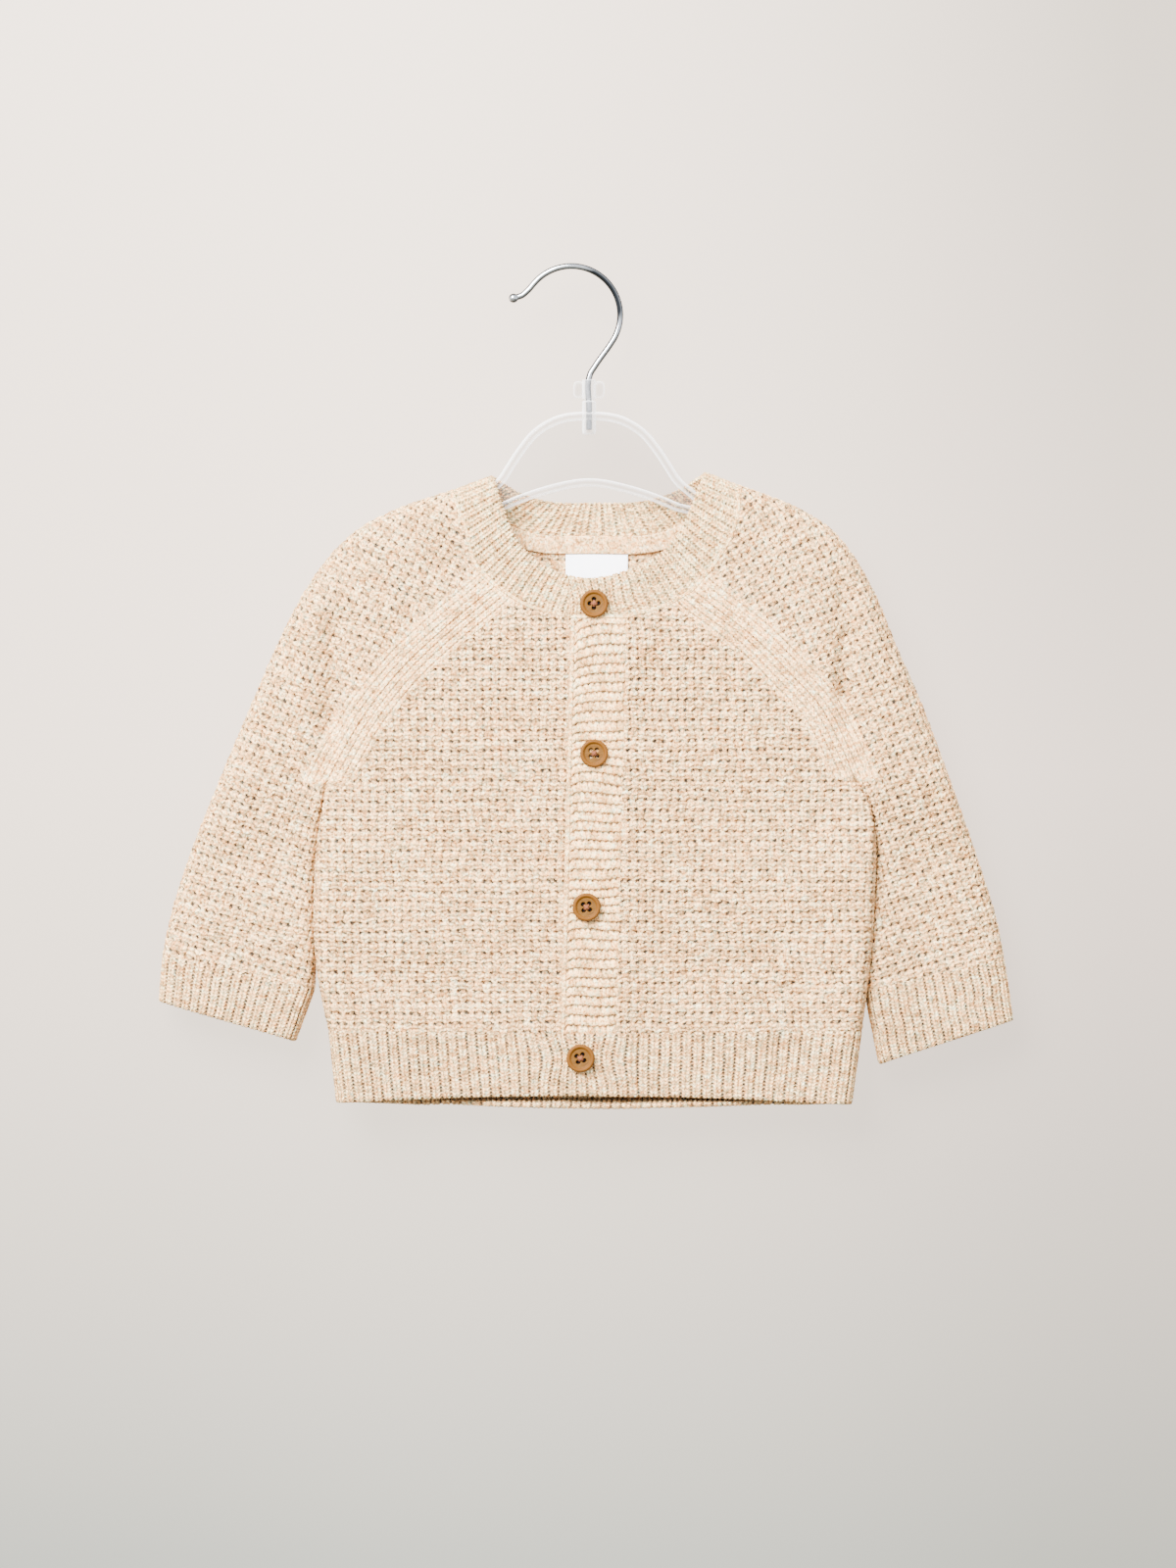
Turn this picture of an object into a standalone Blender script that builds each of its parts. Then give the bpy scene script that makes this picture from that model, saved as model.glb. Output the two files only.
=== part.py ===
"""Baby's raglan cardigan, buttoned up and hung flat on a clear hanger.

Metres, +Z up, the front towards -Y. Right and left are the wearer's, so the right half lies at -X.
The origin is the inside of the hook, straight above the middle of the hanger.

The cloth is one flattened double layer. Every piece is laid out in the X-Z plane, between the
outline, the seams and the openings. The depth of each point then follows from how far it lies
from the nearest folded edge of the outline, so that neighbouring pieces meet along their seams.
"""

import math
from collections import namedtuple

import bmesh
import bpy
import numpy as np
from mathutils import Matrix

# ---------------------------------------------------------------- driving dimensions
CLOTH = 0.0024  # wall of knitted cloth
SEAM_GAP = 0.0003  # between two pieces, at a seam or face to face
RIB_PITCH = 0.0049  # one knit and one purl column of the 1 x 1 rib
RIB_RELIEF = 0.0008  # how far the purl columns lie under the knit ones
BAND_PITCH = 0.0044  # one ridge of the front bands
BAND_WIDTH = 0.0265
BAND_TUCK = 0.0015  # how far the right front reaches under the buttonhole band
OVERLAP_EASE = 0.020  # width over which the left half comes down beside the overlap
ROLL = 0.030  # width beside a folded edge over which the cloth rounds off
ROLL_POWER = 4
SLEEVE_BACK = 0.0065  # the sleeves hang this far behind the middle of the body
DROP_LENGTH = 0.050  # length below the armpit over which they come to hang there
SIDE_FORWARD = 0.0030  # the side seams lie this far in front of it
SLEEVE_SHARE = 0.70  # depth of a sleeve against that of the body at the same height
SLEEVE_FROM, SLEEVE_EASE = 0.122, 0.045  # distance from the middle where that starts, and its width
ARMPIT_Z = -0.2460
SIDE_FROM, SIDE_EASE = 0.085, 0.040  # where the sides start to come forward, and over which width

BUTTON_RADIUS = 0.00675
BUTTON_THICK = 0.0032
BUTTON_PROFILE = [  # half section from the middle of the back, in radii and thicknesses
    (0, 0),
    (0.72, 0),
    (0.97, 0.30),
    (1, 0.62),
    (0.86, 1),
    (0.70, 0.94),
    (0.60, 0.70),
    (0, 0.70),
]
BUTTON_SEGMENTS = 16
HOLE_RADIUS = 0.00080
HOLE_RING = 0.00205  # the four holes' distance from the button's middle
TAPE_HEIGHT = 0.0085
TAPE_THICK = 0.0009
TAPE_DROP = 0.45  # share of the tape that lies below the seam
TAPE_ENDS = (0.03, 0.97)  # where it starts and ends along the back neck
LABEL_SIZE = (0.030, 0.016)
LABEL_X = 0.0037
LABEL_THICK = 0.0006

WIRE_RADIUS = 0.0015
HOOK_RADIUS = 0.0235  # centre line of the hook's round
HOOK_CENTRE = (-0.0085, -0.0199)
HANGER_HALF = 0.0026  # half the thickness of the hanger's rim
PLATE_HALF = 0.0011  # half the thickness of its web
RIM_WIDTH = 0.0040
RIM_ROUND = 0.0018  # rounding of the rim's outer edges
WEB_STEP = 0.0005  # width of the step from the rim down to the web
ARM_ROOT = 0.0161  # width of an arm beside the arch
ARM_TIP = 0.0105
ARM_REACH = {"right": -0.1085, "left": 0.1125}  # x at which the arm's tip begins
ARM_CLEAR = 0.0004  # between an arm and the cloth that rests on it
ARM_LAST_ROW = 0.0020  # no row of the cloth's is followed nearer to the arm's end than this
LOWER_START = 0.08  # share of an arm's length at which its lower edge leaves the arch
SOCKET_RADIUS = 0.0034
SOCKET_Z = (-0.0775, -0.0610)
SOCKET_ROUND = 0.0012
BORE_Z = (-0.0755, -0.0560)
COLLAR_Z = (-0.0607, -0.0510)
EAR_SIZE = (0.0052, 0.0026, 0.0082)
EAR_OFFSET = 0.0050
EAR_ROUND = 0.0008
HOOK_ANGLES = (-35, 139)  # from the straight to the turned-out tip, in degrees
HOOK_STEPS = 20
HOOK_FOOT = [(0, -0.0752), (0, -0.0640), (0, -0.0502), (0.0006, -0.0483), (0.0028, -0.0447)]
HOOK_TIP = [(-0.0297, -0.0084), (-0.0326, -0.0107), (-0.0345, -0.0113)]
BALL_RADIUS = 0.0026
BALL_STEPS = [0.12, 0.45, 0.95, 1.45, 1.75, 1.94]  # places along the ball, in its radii

# Half depth of the body by height, armhole and sleeves aside. Columns: z, half depth.
Fullness = namedtuple("Fullness", "z half_depth")
FULLNESS = [
    Fullness(-0.402, 0.0095),
    Fullness(-0.362, 0.0108),
    Fullness(-0.290, 0.0124),
    Fullness(-0.200, 0.0118),
    Fullness(-0.150, 0.0104),
    Fullness(-0.100, 0.0090),
]

# Outline of each half as seen from the front. Columns: x, z.
Point = namedtuple("Point", "x z")
SHOULDER = {  # over the hanger: neck edge, neckband seam
    "right": [Point(-0.0461, -0.0966), Point(-0.0672, -0.1045)],
    "left": [Point(0.0555, -0.0954), Point(0.0737, -0.1022)],
}
ARM_FOLD = {  # neckband seam to the level of the armpit
    "right": [
        Point(-0.0672, -0.1045),
        Point(-0.0940, -0.1139),
        Point(-0.1114, -0.1233),
        Point(-0.1250, -0.1362),
        Point(-0.1358, -0.1515),
        Point(-0.1504, -0.1797),
        Point(-0.1626, -0.2079),
        Point(-0.1745, -0.2360),
    ],
    "left": [
        Point(0.0737, -0.1022),
        Point(0.1025, -0.1139),
        Point(0.1170, -0.1233),
        Point(0.1275, -0.1362),
        Point(0.1363, -0.1515),
        Point(0.1480, -0.1797),
        Point(0.1603, -0.2079),
        Point(0.1712, -0.2370),
    ],
}
SLEEVE_FOLD = {  # level of the armpit to the cuff seam
    "right": [
        Point(-0.1745, -0.2360),
        Point(-0.1932, -0.2831),
        Point(-0.2018, -0.3113),
        Point(-0.2052, -0.3277),
    ],
    "left": [
        Point(0.1712, -0.2370),
        Point(0.1875, -0.2831),
        Point(0.1962, -0.3113),
        Point(0.1997, -0.3291),
    ],
}
UNDERARM = {  # armpit to the cuff seam
    "right": [
        Point(-0.1264, -0.2455),
        Point(-0.1296, -0.2630),
        Point(-0.1313, -0.2800),
        Point(-0.1316, -0.2950),
        Point(-0.1313, -0.3207),
        Point(-0.1320, -0.3442),
    ],
    "left": [
        Point(0.1278, -0.2431),
        Point(0.1349, -0.2543),
        Point(0.1376, -0.2690),
        Point(0.1376, -0.2810),
        Point(0.1366, -0.2960),
        Point(0.1340, -0.3200),
        Point(0.1325, -0.3451),
    ],
}
CUFF_END = {  # outer and inner corner
    "right": [Point(-0.2070, -0.3498), Point(-0.1412, -0.3691)],
    "left": [Point(0.2042, -0.3592), Point(0.1396, -0.3804)],
}
SIDE_SEAM = {  # armpit to the hem seam
    "right": [
        Point(-0.1260, -0.2455),
        Point(-0.1290, -0.2630),
        Point(-0.1314, -0.2925),
        Point(-0.1317, -0.3160),
        Point(-0.1297, -0.3395),
        Point(-0.1250, -0.3640),
    ],
    "left": [
        Point(0.1274, -0.2431),
        Point(0.1345, -0.2545),
        Point(0.1372, -0.2690),
        Point(0.1372, -0.2925),
        Point(0.1350, -0.3300),
        Point(0.1310, -0.3640),
    ],
}
HEM_CORNER = {"right": Point(-0.1213, -0.3987), "left": Point(0.1262, -0.3996)}
HEM_SEAM_Z = -0.3650
HEM_FRONT_Z = -0.3958  # at the middle, where the front hem is drawn up
HEM_BACK_Z = -0.4015  # at the middle, where the back hem hangs lower
HEM_ARCH = (0.0, 0.0006)  # how far each front's hem bows up
UNDER_SHORT = 0.0010  # how far the under band stops short of the top one's seam
NECK_CLEAR = 0.008  # share of the neckband's width left free where its ribs meet the panels

FRONT_RAGLAN = {  # armpit to the neckband
    "right": [
        Point(-0.1262, -0.2455),
        Point(-0.1194, -0.2323),
        Point(-0.1076, -0.2126),
        Point(-0.0931, -0.1938),
        Point(-0.0771, -0.1778),
        Point(-0.0456, -0.1510),
    ],
    "left": [
        Point(0.1276, -0.2431),
        Point(0.1208, -0.2267),
        Point(0.1114, -0.2088),
        Point(0.0982, -0.1943),
        Point(0.0846, -0.1802),
        Point(0.0503, -0.1529),
    ],
}
BACK_RAGLAN = {  # armpit to the neckband
    "right": [
        Point(-0.1262, -0.2455),
        Point(-0.1150, -0.2245),
        Point(-0.1000, -0.1980),
        Point(-0.0640, -0.1420),
        Point(-0.0475, -0.1200),
    ],
    "left": [
        Point(0.1276, -0.2431),
        Point(0.1170, -0.2220),
        Point(0.1030, -0.1950),
        Point(0.0690, -0.1410),
        Point(0.0540, -0.1190),
    ],
}
NECK_FRONT = {  # neckband seam on the front: from the front raglan towards the middle
    "right": [Point(-0.0456, -0.1510), Point(-0.0310, -0.1600), Point(-0.0060, -0.1665)],
    "left": [Point(0.0503, -0.1529), Point(0.0391, -0.1595), Point(0.0180, -0.1663)],
}
NECK_SLEEVE_FRONT = {  # neckband seam on the sleeve: front raglan to the shoulder
    "right": [
        Point(-0.0456, -0.1510),
        Point(-0.0545, -0.1414),
        Point(-0.0606, -0.1216),
        Point(-0.0672, -0.1045),
    ],
    "left": [
        Point(0.0503, -0.1529),
        Point(0.0606, -0.1407),
        Point(0.0705, -0.1234),
        Point(0.0737, -0.1022),
    ],
}
NECK_SLEEVE_BACK = {  # shoulder to the back raglan
    "right": [Point(-0.0672, -0.1045), Point(-0.0592, -0.1111), Point(-0.0475, -0.1200)],
    "left": [Point(0.0737, -0.1022), Point(0.0650, -0.1100), Point(0.0540, -0.1190)],
}
NECK_BACK = [  # neckband seam on the back, right to left
    Point(-0.0475, -0.1200),
    Point(-0.0335, -0.1275),
    Point(0.0020, -0.1305),
    Point(0.0390, -0.1275),
    Point(0.0540, -0.1190),
]
NECK_EDGE_RIGHT = [  # free edge of the neckband: front middle to the right shoulder
    Point(0.0175, -0.1446),
    Point(-0.0005, -0.1468),
    Point(-0.0174, -0.1426),
    Point(-0.0310, -0.1325),
    Point(-0.0418, -0.1105),
    Point(-0.0461, -0.0966),
]
NECK_EDGE_BACK = [
    Point(-0.0461, -0.0966),
    Point(-0.0353, -0.1040),
    Point(-0.0221, -0.1088),
    Point(0.0020, -0.1100),
    Point(0.0290, -0.1085),
    Point(0.0437, -0.1035),
    Point(0.0555, -0.0954),
]
NECK_EDGE_LEFT = [
    Point(0.0555, -0.0954),
    Point(0.0492, -0.1105),
    Point(0.0435, -0.1235),
    Point(0.0348, -0.1341),
    Point(0.0192, -0.1424),
    Point(-0.0005, -0.1468),
    Point(-0.0085, -0.1464),
]

# Free edge of the buttonhole band, on top of the right front.
BAND_EDGE_TOP = Point(-0.0085, -0.1664)
BAND_EDGE_HEM = Point(-0.0134, HEM_SEAM_Z)
BAND_EDGE_END = Point(-0.0120, HEM_FRONT_Z - 0.0012)

# Main folds, pressed into the outside of both layers. Columns: the two ends, half width, depth.
Fold = namedtuple("Fold", "x0 z0 x1 z1 half_width depth")
FOLDS = [
    Fold(-0.1240, -0.1680, -0.1250, -0.2160, 0.0060, 0.0030),  # right sleeve, under the hanger's tip
    Fold(0.1225, -0.1520, 0.1270, -0.2150, 0.0060, 0.0034),  # left sleeve, the same
    Fold(0.0420, -0.3440, 0.1200, -0.3090, 0.0110, 0.0014),  # left front, drawn to the side
]

# Buttons, top to bottom. Columns: centre x and z, turn of the four holes in degrees.
Button = namedtuple("Button", "x z turn")
BUTTONS = [
    Button(0.0024, -0.1590, 45),
    Button(0.0024, -0.2308, 2),
    Button(-0.0012, -0.3045, 6),
    Button(-0.0041, -0.3770, 15),
]

# Clear hanger, one half, from the middle outwards. Columns: distance from the middle, z.
DOME = [
    Point(0.0, -0.0664),
    Point(0.0160, -0.0685),
    Point(0.0263, -0.0744),
    Point(0.0353, -0.0850),
    Point(0.0405, -0.0930),
    Point(0.0438, -0.0984),
]
ARCH = [Point(0.0, -0.1031), Point(0.0190, -0.1068), Point(0.0353, -0.1120), Point(0.0420, -0.1150)]
ON_EDGE = 0.00006  # a point this near a folded edge lies on it

# Columns of a panel, from the middle to the side, closer where the cloth rounds off.
ACROSS = np.array([0, 0.05, 0.12, 0.26, 0.42, 0.57, 0.70, 0.81, 0.90, 0.955, 0.987, 1])
ACROSS_SLEEVE = np.array([0, 0.02, 0.075, 0.17, 0.33, 0.52, 0.71, 0.85, 0.93, 0.98, 1])
BELOW_ARMPIT = [0, 0.006, 0.014, 0.024, 0.038, 0.056, 0.078, 0.100]  # rows, down from the armpit
LOWEST_ROW = 0.85  # share of the length down to the seam beyond which no such row lies
ROWS_YOKE = 10  # armpit to neckband
YOKE_POWER = 1.3  # these rows lie closer near the armpit
ROWS_BAND = 6  # button band, hem seam to neckband
HEM_STEPS = 30  # across a front, before the ribs are laid out
NECK_STEPS = 60  # on each of the neckband's three stretches, likewise
TAPE_STEPS = 14


# ---------------------------------------------------------------- curves
def smooth_line(points, fractions):
    """Points at these fractions of the length of a smooth curve through the given points."""
    points = np.array(points, float)
    knots = run_length(points)
    slopes = np.gradient(points, knots, axis=0)
    fine = np.linspace(0, knots[-1], 60 * len(points))
    k = np.clip(np.searchsorted(knots, fine, side="right") - 1, 0, len(knots) - 2)
    span = (knots[k + 1] - knots[k])[:, None]
    t = (fine - knots[k])[:, None] / span
    curve = (
        (2 * t**3 - 3 * t**2 + 1) * points[k]
        + (t**3 - 2 * t**2 + t) * span * slopes[k]
        + (3 * t**2 - 2 * t**3) * points[k + 1]
        + (t**3 - t**2) * span * slopes[k + 1]
    )
    return along(curve, fractions)


def run_length(points):
    """Length along a line up to each of its points."""
    return np.concatenate([[0], np.cumsum(np.linalg.norm(np.diff(points, axis=0), axis=1))])


def along(points, fractions):
    """Points at these fractions of the length of a line of straight stretches."""
    length = run_length(points)
    wanted = np.asarray(fractions) * length[-1]
    return np.stack([np.interp(wanted, length, column) for column in points.T], axis=-1)


def even(count):
    """Even fractions from 0 to 1, in this many steps."""
    return np.linspace(0, 1, count + 1)


def ease(value):
    """0 below 0, 1 above 1 and smooth between."""
    value = np.clip(value, 0, 1)
    return value * value * (3 - 2 * value)


def patch(bottom, top, start, end):
    """Coons patch: a grid of points between four boundary lines that meet at their ends.

    bottom and top run from start to end. Rows go from bottom to top, and columns from start to end.
    """
    v = run_length((start + end) / 2)[:, None, None]
    v = v / v[-1]
    u = run_length((bottom + top) / 2)[None, :, None]
    u = u / u[0, -1]
    ruled = (1 - v) * bottom[None] + v * top[None] + (1 - u) * start[:, None] + u * end[:, None]
    corners = (1 - v) * ((1 - u) * bottom[0] + u * bottom[-1]) + v * ((1 - u) * top[0] + u * top[-1])
    return ruled - corners


# ---------------------------------------------------------------- the flattened form
def fine_line(*lines):
    """One finely divided line through several smooth stretches."""
    stretches = [smooth_line(line, even(40)) for line in lines]
    return np.concatenate([stretches[0], *[s[1:] for s in stretches[1:]]])


def cuff_line(side, corner, seam_end):
    """The straight folded edge of a cuff, from its seam to its free end."""
    return [seam_end, CUFF_END[side][corner]]


ARM_EDGE = {
    side: fine_line(
        SHOULDER[side],
        ARM_FOLD[side],
        SLEEVE_FOLD[side],
        cuff_line(side, 0, SLEEVE_FOLD[side][-1]),
    )
    for side in ("right", "left")
}
INNER_EDGE = {
    side: fine_line(UNDERARM[side], cuff_line(side, 1, UNDERARM[side][-1]))
    for side in ("right", "left")
}
BODY_EDGE = {
    side: fine_line(SIDE_SEAM[side], [SIDE_SEAM[side][-1], HEM_CORNER[side]])
    for side in ("right", "left")
}
BODY_EDGES = [ARM_EDGE["right"], ARM_EDGE["left"], BODY_EDGE["right"], BODY_EDGE["left"]]


def nearest(points, line):
    """Distance from each point to a line, and the direction away from the line's nearest point."""
    begin, step = line[:-1], np.diff(line, axis=0)
    rel = points[..., None, :] - begin
    t = np.clip((rel * step).sum(-1) / (step * step).sum(-1), 0, 1)
    away = rel - t[..., None] * step
    distance = np.linalg.norm(away, axis=-1)
    k = distance.argmin(-1)
    pick = np.take_along_axis(away, k[..., None, None], -2)[..., 0, :]
    return np.take_along_axis(distance, k[..., None], -1)[..., 0], pick, step[k]


def inward(plan, edges):
    """Distance of each point of a plan to the nearest folded edge, and the direction in from it.

    On the edge itself the direction is square to the edge, towards the middle of the row.
    """
    found = [nearest(plan, line) for line in edges]
    distances = np.stack([f[0] for f in found])
    k = distances.argmin(0)
    distance = np.take_along_axis(distances, k[None], 0)[0]
    away = np.take_along_axis(np.stack([f[1] for f in found]), k[None, ..., None], 0)[0]
    step = np.take_along_axis(np.stack([f[2] for f in found]), k[None, ..., None], 0)[0]
    square = np.stack([-step[..., 1], step[..., 0]], -1)
    square /= np.linalg.norm(square, axis=-1, keepdims=True)
    middle = plan.mean(axis=1, keepdims=True) - plan
    square *= np.where((square * middle).sum(-1, keepdims=True) < 0, -1, 1)
    on_edge = distance < ON_EDGE
    direction = away / np.maximum(distance, 1e-9)[..., None]
    direction = np.where(on_edge[..., None], square, direction)
    return np.where(on_edge, 0, distance), direction


def half_depth(plan):
    """Largest half depth of the flattened form at each point, away from the folded edges."""
    table = np.array(FULLNESS)
    body = np.interp(plan[..., 1], table[:, 0], table[:, 1])
    sleeve = ease((np.abs(plan[..., 0]) - SLEEVE_FROM) / SLEEVE_EASE)
    return body * (1 - (1 - SLEEVE_SHARE) * sleeve)


def fold_depth(plan):
    """How deep the main folds press in at each point: a soft trough round each fold's line."""
    depth = np.zeros(plan.shape[:-1])
    for fold in FOLDS:
        line = np.array([[fold.x0, fold.z0], [fold.x1, fold.z1]])
        distance = nearest(plan, line)[0]
        depth += fold.depth * np.exp(-((distance / fold.half_width) ** 2))
    return depth


def full_depth(plan):
    """Half depth away from the folded edges, with the main folds pressed in."""
    return half_depth(plan) - fold_depth(plan)


def gradient(field, plan, step=0.0002):
    """How a field over the plan changes along x and along z."""
    ahead = [field(plan + step * axis) - field(plan - step * axis) for axis in np.eye(2)]
    return np.stack(ahead, -1) / (2 * step)


def surface(plan, face, edges, middle):
    """Outer surface of the cloth over a plan, and its outward direction, as two arrays of x, y, z.

    The half depth rises beside a folded edge as (1 - (1 - d / ROLL) ^ ROLL_POWER) ^ 1/2 does.
    face is -1 on the front layer, +1 on the back layer and 0 on a fold, for each column.
    """
    distance, direction = inward(plan, edges)
    limit = full_depth(plan)
    left = 1 - np.clip(distance / ROLL, 0, 1)
    rise = np.sqrt(1 - left**ROLL_POWER)
    steep = limit * ROLL_POWER * left ** (ROLL_POWER - 1) / (2 * ROLL * np.maximum(rise, 1e-4))
    slope = steep[..., None] * direction + rise[..., None] * gradient(full_depth, plan)
    depth = np.maximum(limit * rise, SEAM_GAP / 2)
    face = np.broadcast_to(face, distance.shape)
    points = np.stack([plan[..., 0], middle + face * depth, plan[..., 1]], -1)
    outward = np.stack([-slope[..., 0], face, -slope[..., 1]], -1)
    return points, outward / np.linalg.norm(outward, axis=-1, keepdims=True)


# ---------------------------------------------------------------- solids
def material(name, colour, roughness, metallic=0.0, alpha=1.0):
    """A plain material of this colour, or the one already made under that name."""
    made = bpy.data.materials.get(name)
    if made:
        return made
    made = bpy.data.materials.new(name)
    made.use_nodes = True
    shader = made.node_tree.nodes["Principled BSDF"]
    shader.inputs["Base Color"].default_value = (*colour, 1)
    shader.inputs["Roughness"].default_value = roughness
    shader.inputs["Metallic"].default_value = metallic
    shader.inputs["Alpha"].default_value = alpha
    made.diffuse_color = (*colour, alpha)
    return made


def knit():
    return material("melange_knit", (0.80, 0.66, 0.50), 0.95)


def rib():
    return material("melange_rib", (0.79, 0.65, 0.50), 0.95)


def wood():
    return material("button_wood", (0.52, 0.27, 0.09), 0.45)


def clear():
    return material("clear_plastic", (0.90, 0.91, 0.92), 0.12, alpha=0.35)


def steel():
    return material("bright_steel", (0.75, 0.76, 0.78), 0.15, metallic=1.0)


def link(name, mesh, finish, smooth_angle=40):
    """Puts a mesh in the scene as a named object."""
    mesh.materials.append(finish)
    mesh.shade_smooth()
    mesh.set_sharp_from_angle(angle=math.radians(smooth_angle))
    obj = bpy.data.objects.new(name, mesh)
    bpy.context.scene.collection.objects.link(obj)
    return obj


def wall(name, outer, inner, finish):
    """A closed wall between two grids of points: both faces and the rim round them."""
    rows, columns = outer.shape[:2]
    count = rows * columns
    index = np.arange(count).reshape(rows, columns)

    def quads(a, b, c, d):
        return np.stack([a, b, c, d], -1).reshape(-1, 4)

    face = quads(index[:-1, :-1], index[:-1, 1:], index[1:, 1:], index[1:, :-1])
    border = np.concatenate([index[0, :-1], index[:-1, -1], index[-1, :0:-1], index[:0:-1, 0]])
    after = np.roll(border, -1)
    rim = quads(border, after, after + count, border + count)
    mesh = bpy.data.meshes.new(name)
    points = np.concatenate([outer.reshape(-1, 3), inner.reshape(-1, 3)])
    mesh.from_pydata(points.tolist(), [], np.concatenate([face, face[:, ::-1] + count, rim]).tolist())
    shape = bmesh.new()
    shape.from_mesh(mesh)
    bmesh.ops.recalc_face_normals(shape, faces=shape.faces)
    shape.to_mesh(mesh)
    shape.free()
    return link(name, mesh, finish)


FIRST_ROW, LAST_ROW = (0, slice(None)), (-1, slice(None))
START, END = (slice(None), 0), (slice(None), -1)


def raglan(side):
    """The stretch of a side column above the armpit, where it is a seam and not a folded edge."""
    return slice(-ROWS_YOKE, None), side[1]


def sheet(
    name, plan, face, edges, finish, middle=0.0, lift=0.0, sunk=0.0, under=0.0, thick=CLOTH, sewn=()
):
    """A piece of cloth over a plan.

    lift moves the whole wall out, sunk presses the outer points in, as between ribs, and under is
    how far under the outer surface the piece begins. On the sides in sewn the piece stops half a
    gap short of the seam, and the thickness of its wall lies along the seam, so that it can't
    reach into its neighbour.
    """
    plan = plan.copy()
    seams = [(side, *seam_frame(plan, side)) for side in sewn]
    for side, _, step in seams:
        plan[side] += step
    points, outward = surface(plan, face, edges, middle)
    for side, tangent, _ in seams:
        share = (outward[side][..., ::2] * tangent).sum(-1, keepdims=True)
        outward[side] = np.insert(share * tangent, 1, outward[side][..., 1], axis=-1)
        outward[side] /= np.linalg.norm(outward[side], axis=-1, keepdims=True)
    outer = points + outward * np.atleast_1d(lift - under - sunk)[..., None]
    inner = points + outward * np.atleast_1d(lift - under - thick)[..., None]
    return wall(name, outer, inner, finish)


def seam_frame(plan, side):
    """Direction along a seam at each of its points, and the step to half a gap away from it.

    Where the seam doubles back at a fold, the direction is halfway between its two stretches.
    """
    rows, columns = side
    line = plan[side]
    steps = np.diff(line, axis=0)
    before, after = np.concatenate([steps[:1], steps]), np.concatenate([steps, steps[-1:]])
    doubles_back = (before * after).sum(-1, keepdims=True) < 0
    tangent = before + np.where(doubles_back, -after, after)
    tangent /= np.linalg.norm(tangent, axis=-1, keepdims=True)
    if isinstance(rows, int):
        inside = plan[1 if rows == 0 else -2, columns] - line
    else:
        inside = plan[rows, 1 if columns == 0 else -2] - line
    square = inside - (inside * tangent).sum(-1, keepdims=True) * tangent
    return tangent, SEAM_GAP / 2 * inside / np.linalg.norm(square, axis=-1, keepdims=True)


def rib_columns(plan, face, edges, middle, pitch):
    """Even steps of half a pitch along the middle of a two-row plan, each fold kept a column.

    The result counts the plan's own columns, with a fraction between two of them.
    """
    centre = plan.mean(axis=0, keepdims=True)
    points = surface(centre, face, edges, middle)[0][0]
    length = run_length(points)
    folds = np.flatnonzero(np.asarray(face) == 0)
    stops = [0, *folds[(folds > 0) & (folds < len(points) - 1)], len(points) - 1]
    found = [np.array([0.0])]
    for first, last in zip(stops[:-1], stops[1:]):
        steps = max(2, 2 * round((length[last] - length[first]) / pitch))
        wanted = np.linspace(length[first], length[last], steps + 1)[1:]
        found.append(np.interp(wanted, length, np.arange(len(points))))
    return np.concatenate(found)


def resample(plan, columns):
    """A plan read between its columns."""
    low = np.minimum(np.floor(columns).astype(int), plan.shape[1] - 2)
    share = (columns - low)[:, None]
    return plan[:, low] * (1 - share) + plan[:, low + 1] * share


def face_of(face, columns):
    """-1, 0 or +1 for each column read between the columns of a row of faces."""
    value = np.interp(columns, np.arange(len(face)), face)
    return np.where(np.abs(value) < 1e-9, 0, np.sign(value))


def ribbed(name, plan, face, edges, middle, lift, sewn, pitch=RIB_PITCH):
    """A ribbed strip over a plan of two rows: every second column lies under the others.

    middle and lift are functions of the plan.
    """
    columns = rib_columns(plan, face, edges, middle(plan).mean(axis=0), pitch)
    plan = resample(plan, columns)
    sunk = RIB_RELIEF * (np.arange(len(columns)) % 2)
    face = face_of(face, columns)
    sheet(name, plan, face, edges, rib(), middle(plan), lift(plan), sunk, sewn=sewn)


# ---------------------------------------------------------------- front opening
def band_edge_x(z):
    """x of the buttonhole band's free edge at this height."""
    edge = np.array([BAND_EDGE_END, BAND_EDGE_HEM, BAND_EDGE_TOP])
    return np.interp(z, edge[:, 1], edge[:, 0])


def overlap_lift(plan):
    """How far the left half stands out over the right one: a wall and a gap, easing off beyond it."""
    beyond = plan[..., 0] - band_edge_x(plan[..., 1]) - BAND_WIDTH
    return (CLOTH + SEAM_GAP) * ease(1 - beyond / OVERLAP_EASE)


def flush(plan):
    """No lift."""
    return np.zeros(plan.shape[:-1])


def band_line(offset, top_line_z):
    """A line down the front at this distance from the buttonhole band's free edge."""
    z = np.array([HEM_SEAM_Z, top_line_z])
    return np.stack([band_edge_x(z) + offset, z], -1)


# ---------------------------------------------------------------- cloth pieces
def yoke_steps():
    """Rows from the armpit to the neckband, as shares of the way."""
    return even(ROWS_YOKE) ** YOKE_POWER


def lower_steps(line):
    """Rows from the hem or cuff seam to the armpit, as shares of a side seam's or underarm's length.

    The body's and the sleeve's rows lie level below the armpit, where they hang side by side.
    """
    length = run_length(np.array(line))[-1]
    down = [place for place in BELOW_ARMPIT if place < LOWEST_ROW * length] + [length]
    return 1 - np.array(down[::-1]) / length


def side_line(lower, upper, steps):
    """A boundary from the hem or cuff seam to the armpit and on to the neckband."""
    below = smooth_line(lower[::-1], steps)
    above = smooth_line(upper, yoke_steps())
    return np.concatenate([below, above[1:]])


def body_middle(plan):
    """Below the armpits the sides of the body lie a little in front of its middle plane."""
    outer = ease((np.abs(plan[..., 0]) - SIDE_FROM) / SIDE_EASE)
    return -SIDE_FORWARD * outer * ease((ARMPIT_Z - plan[..., 1]) / SIDE_EASE)


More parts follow.
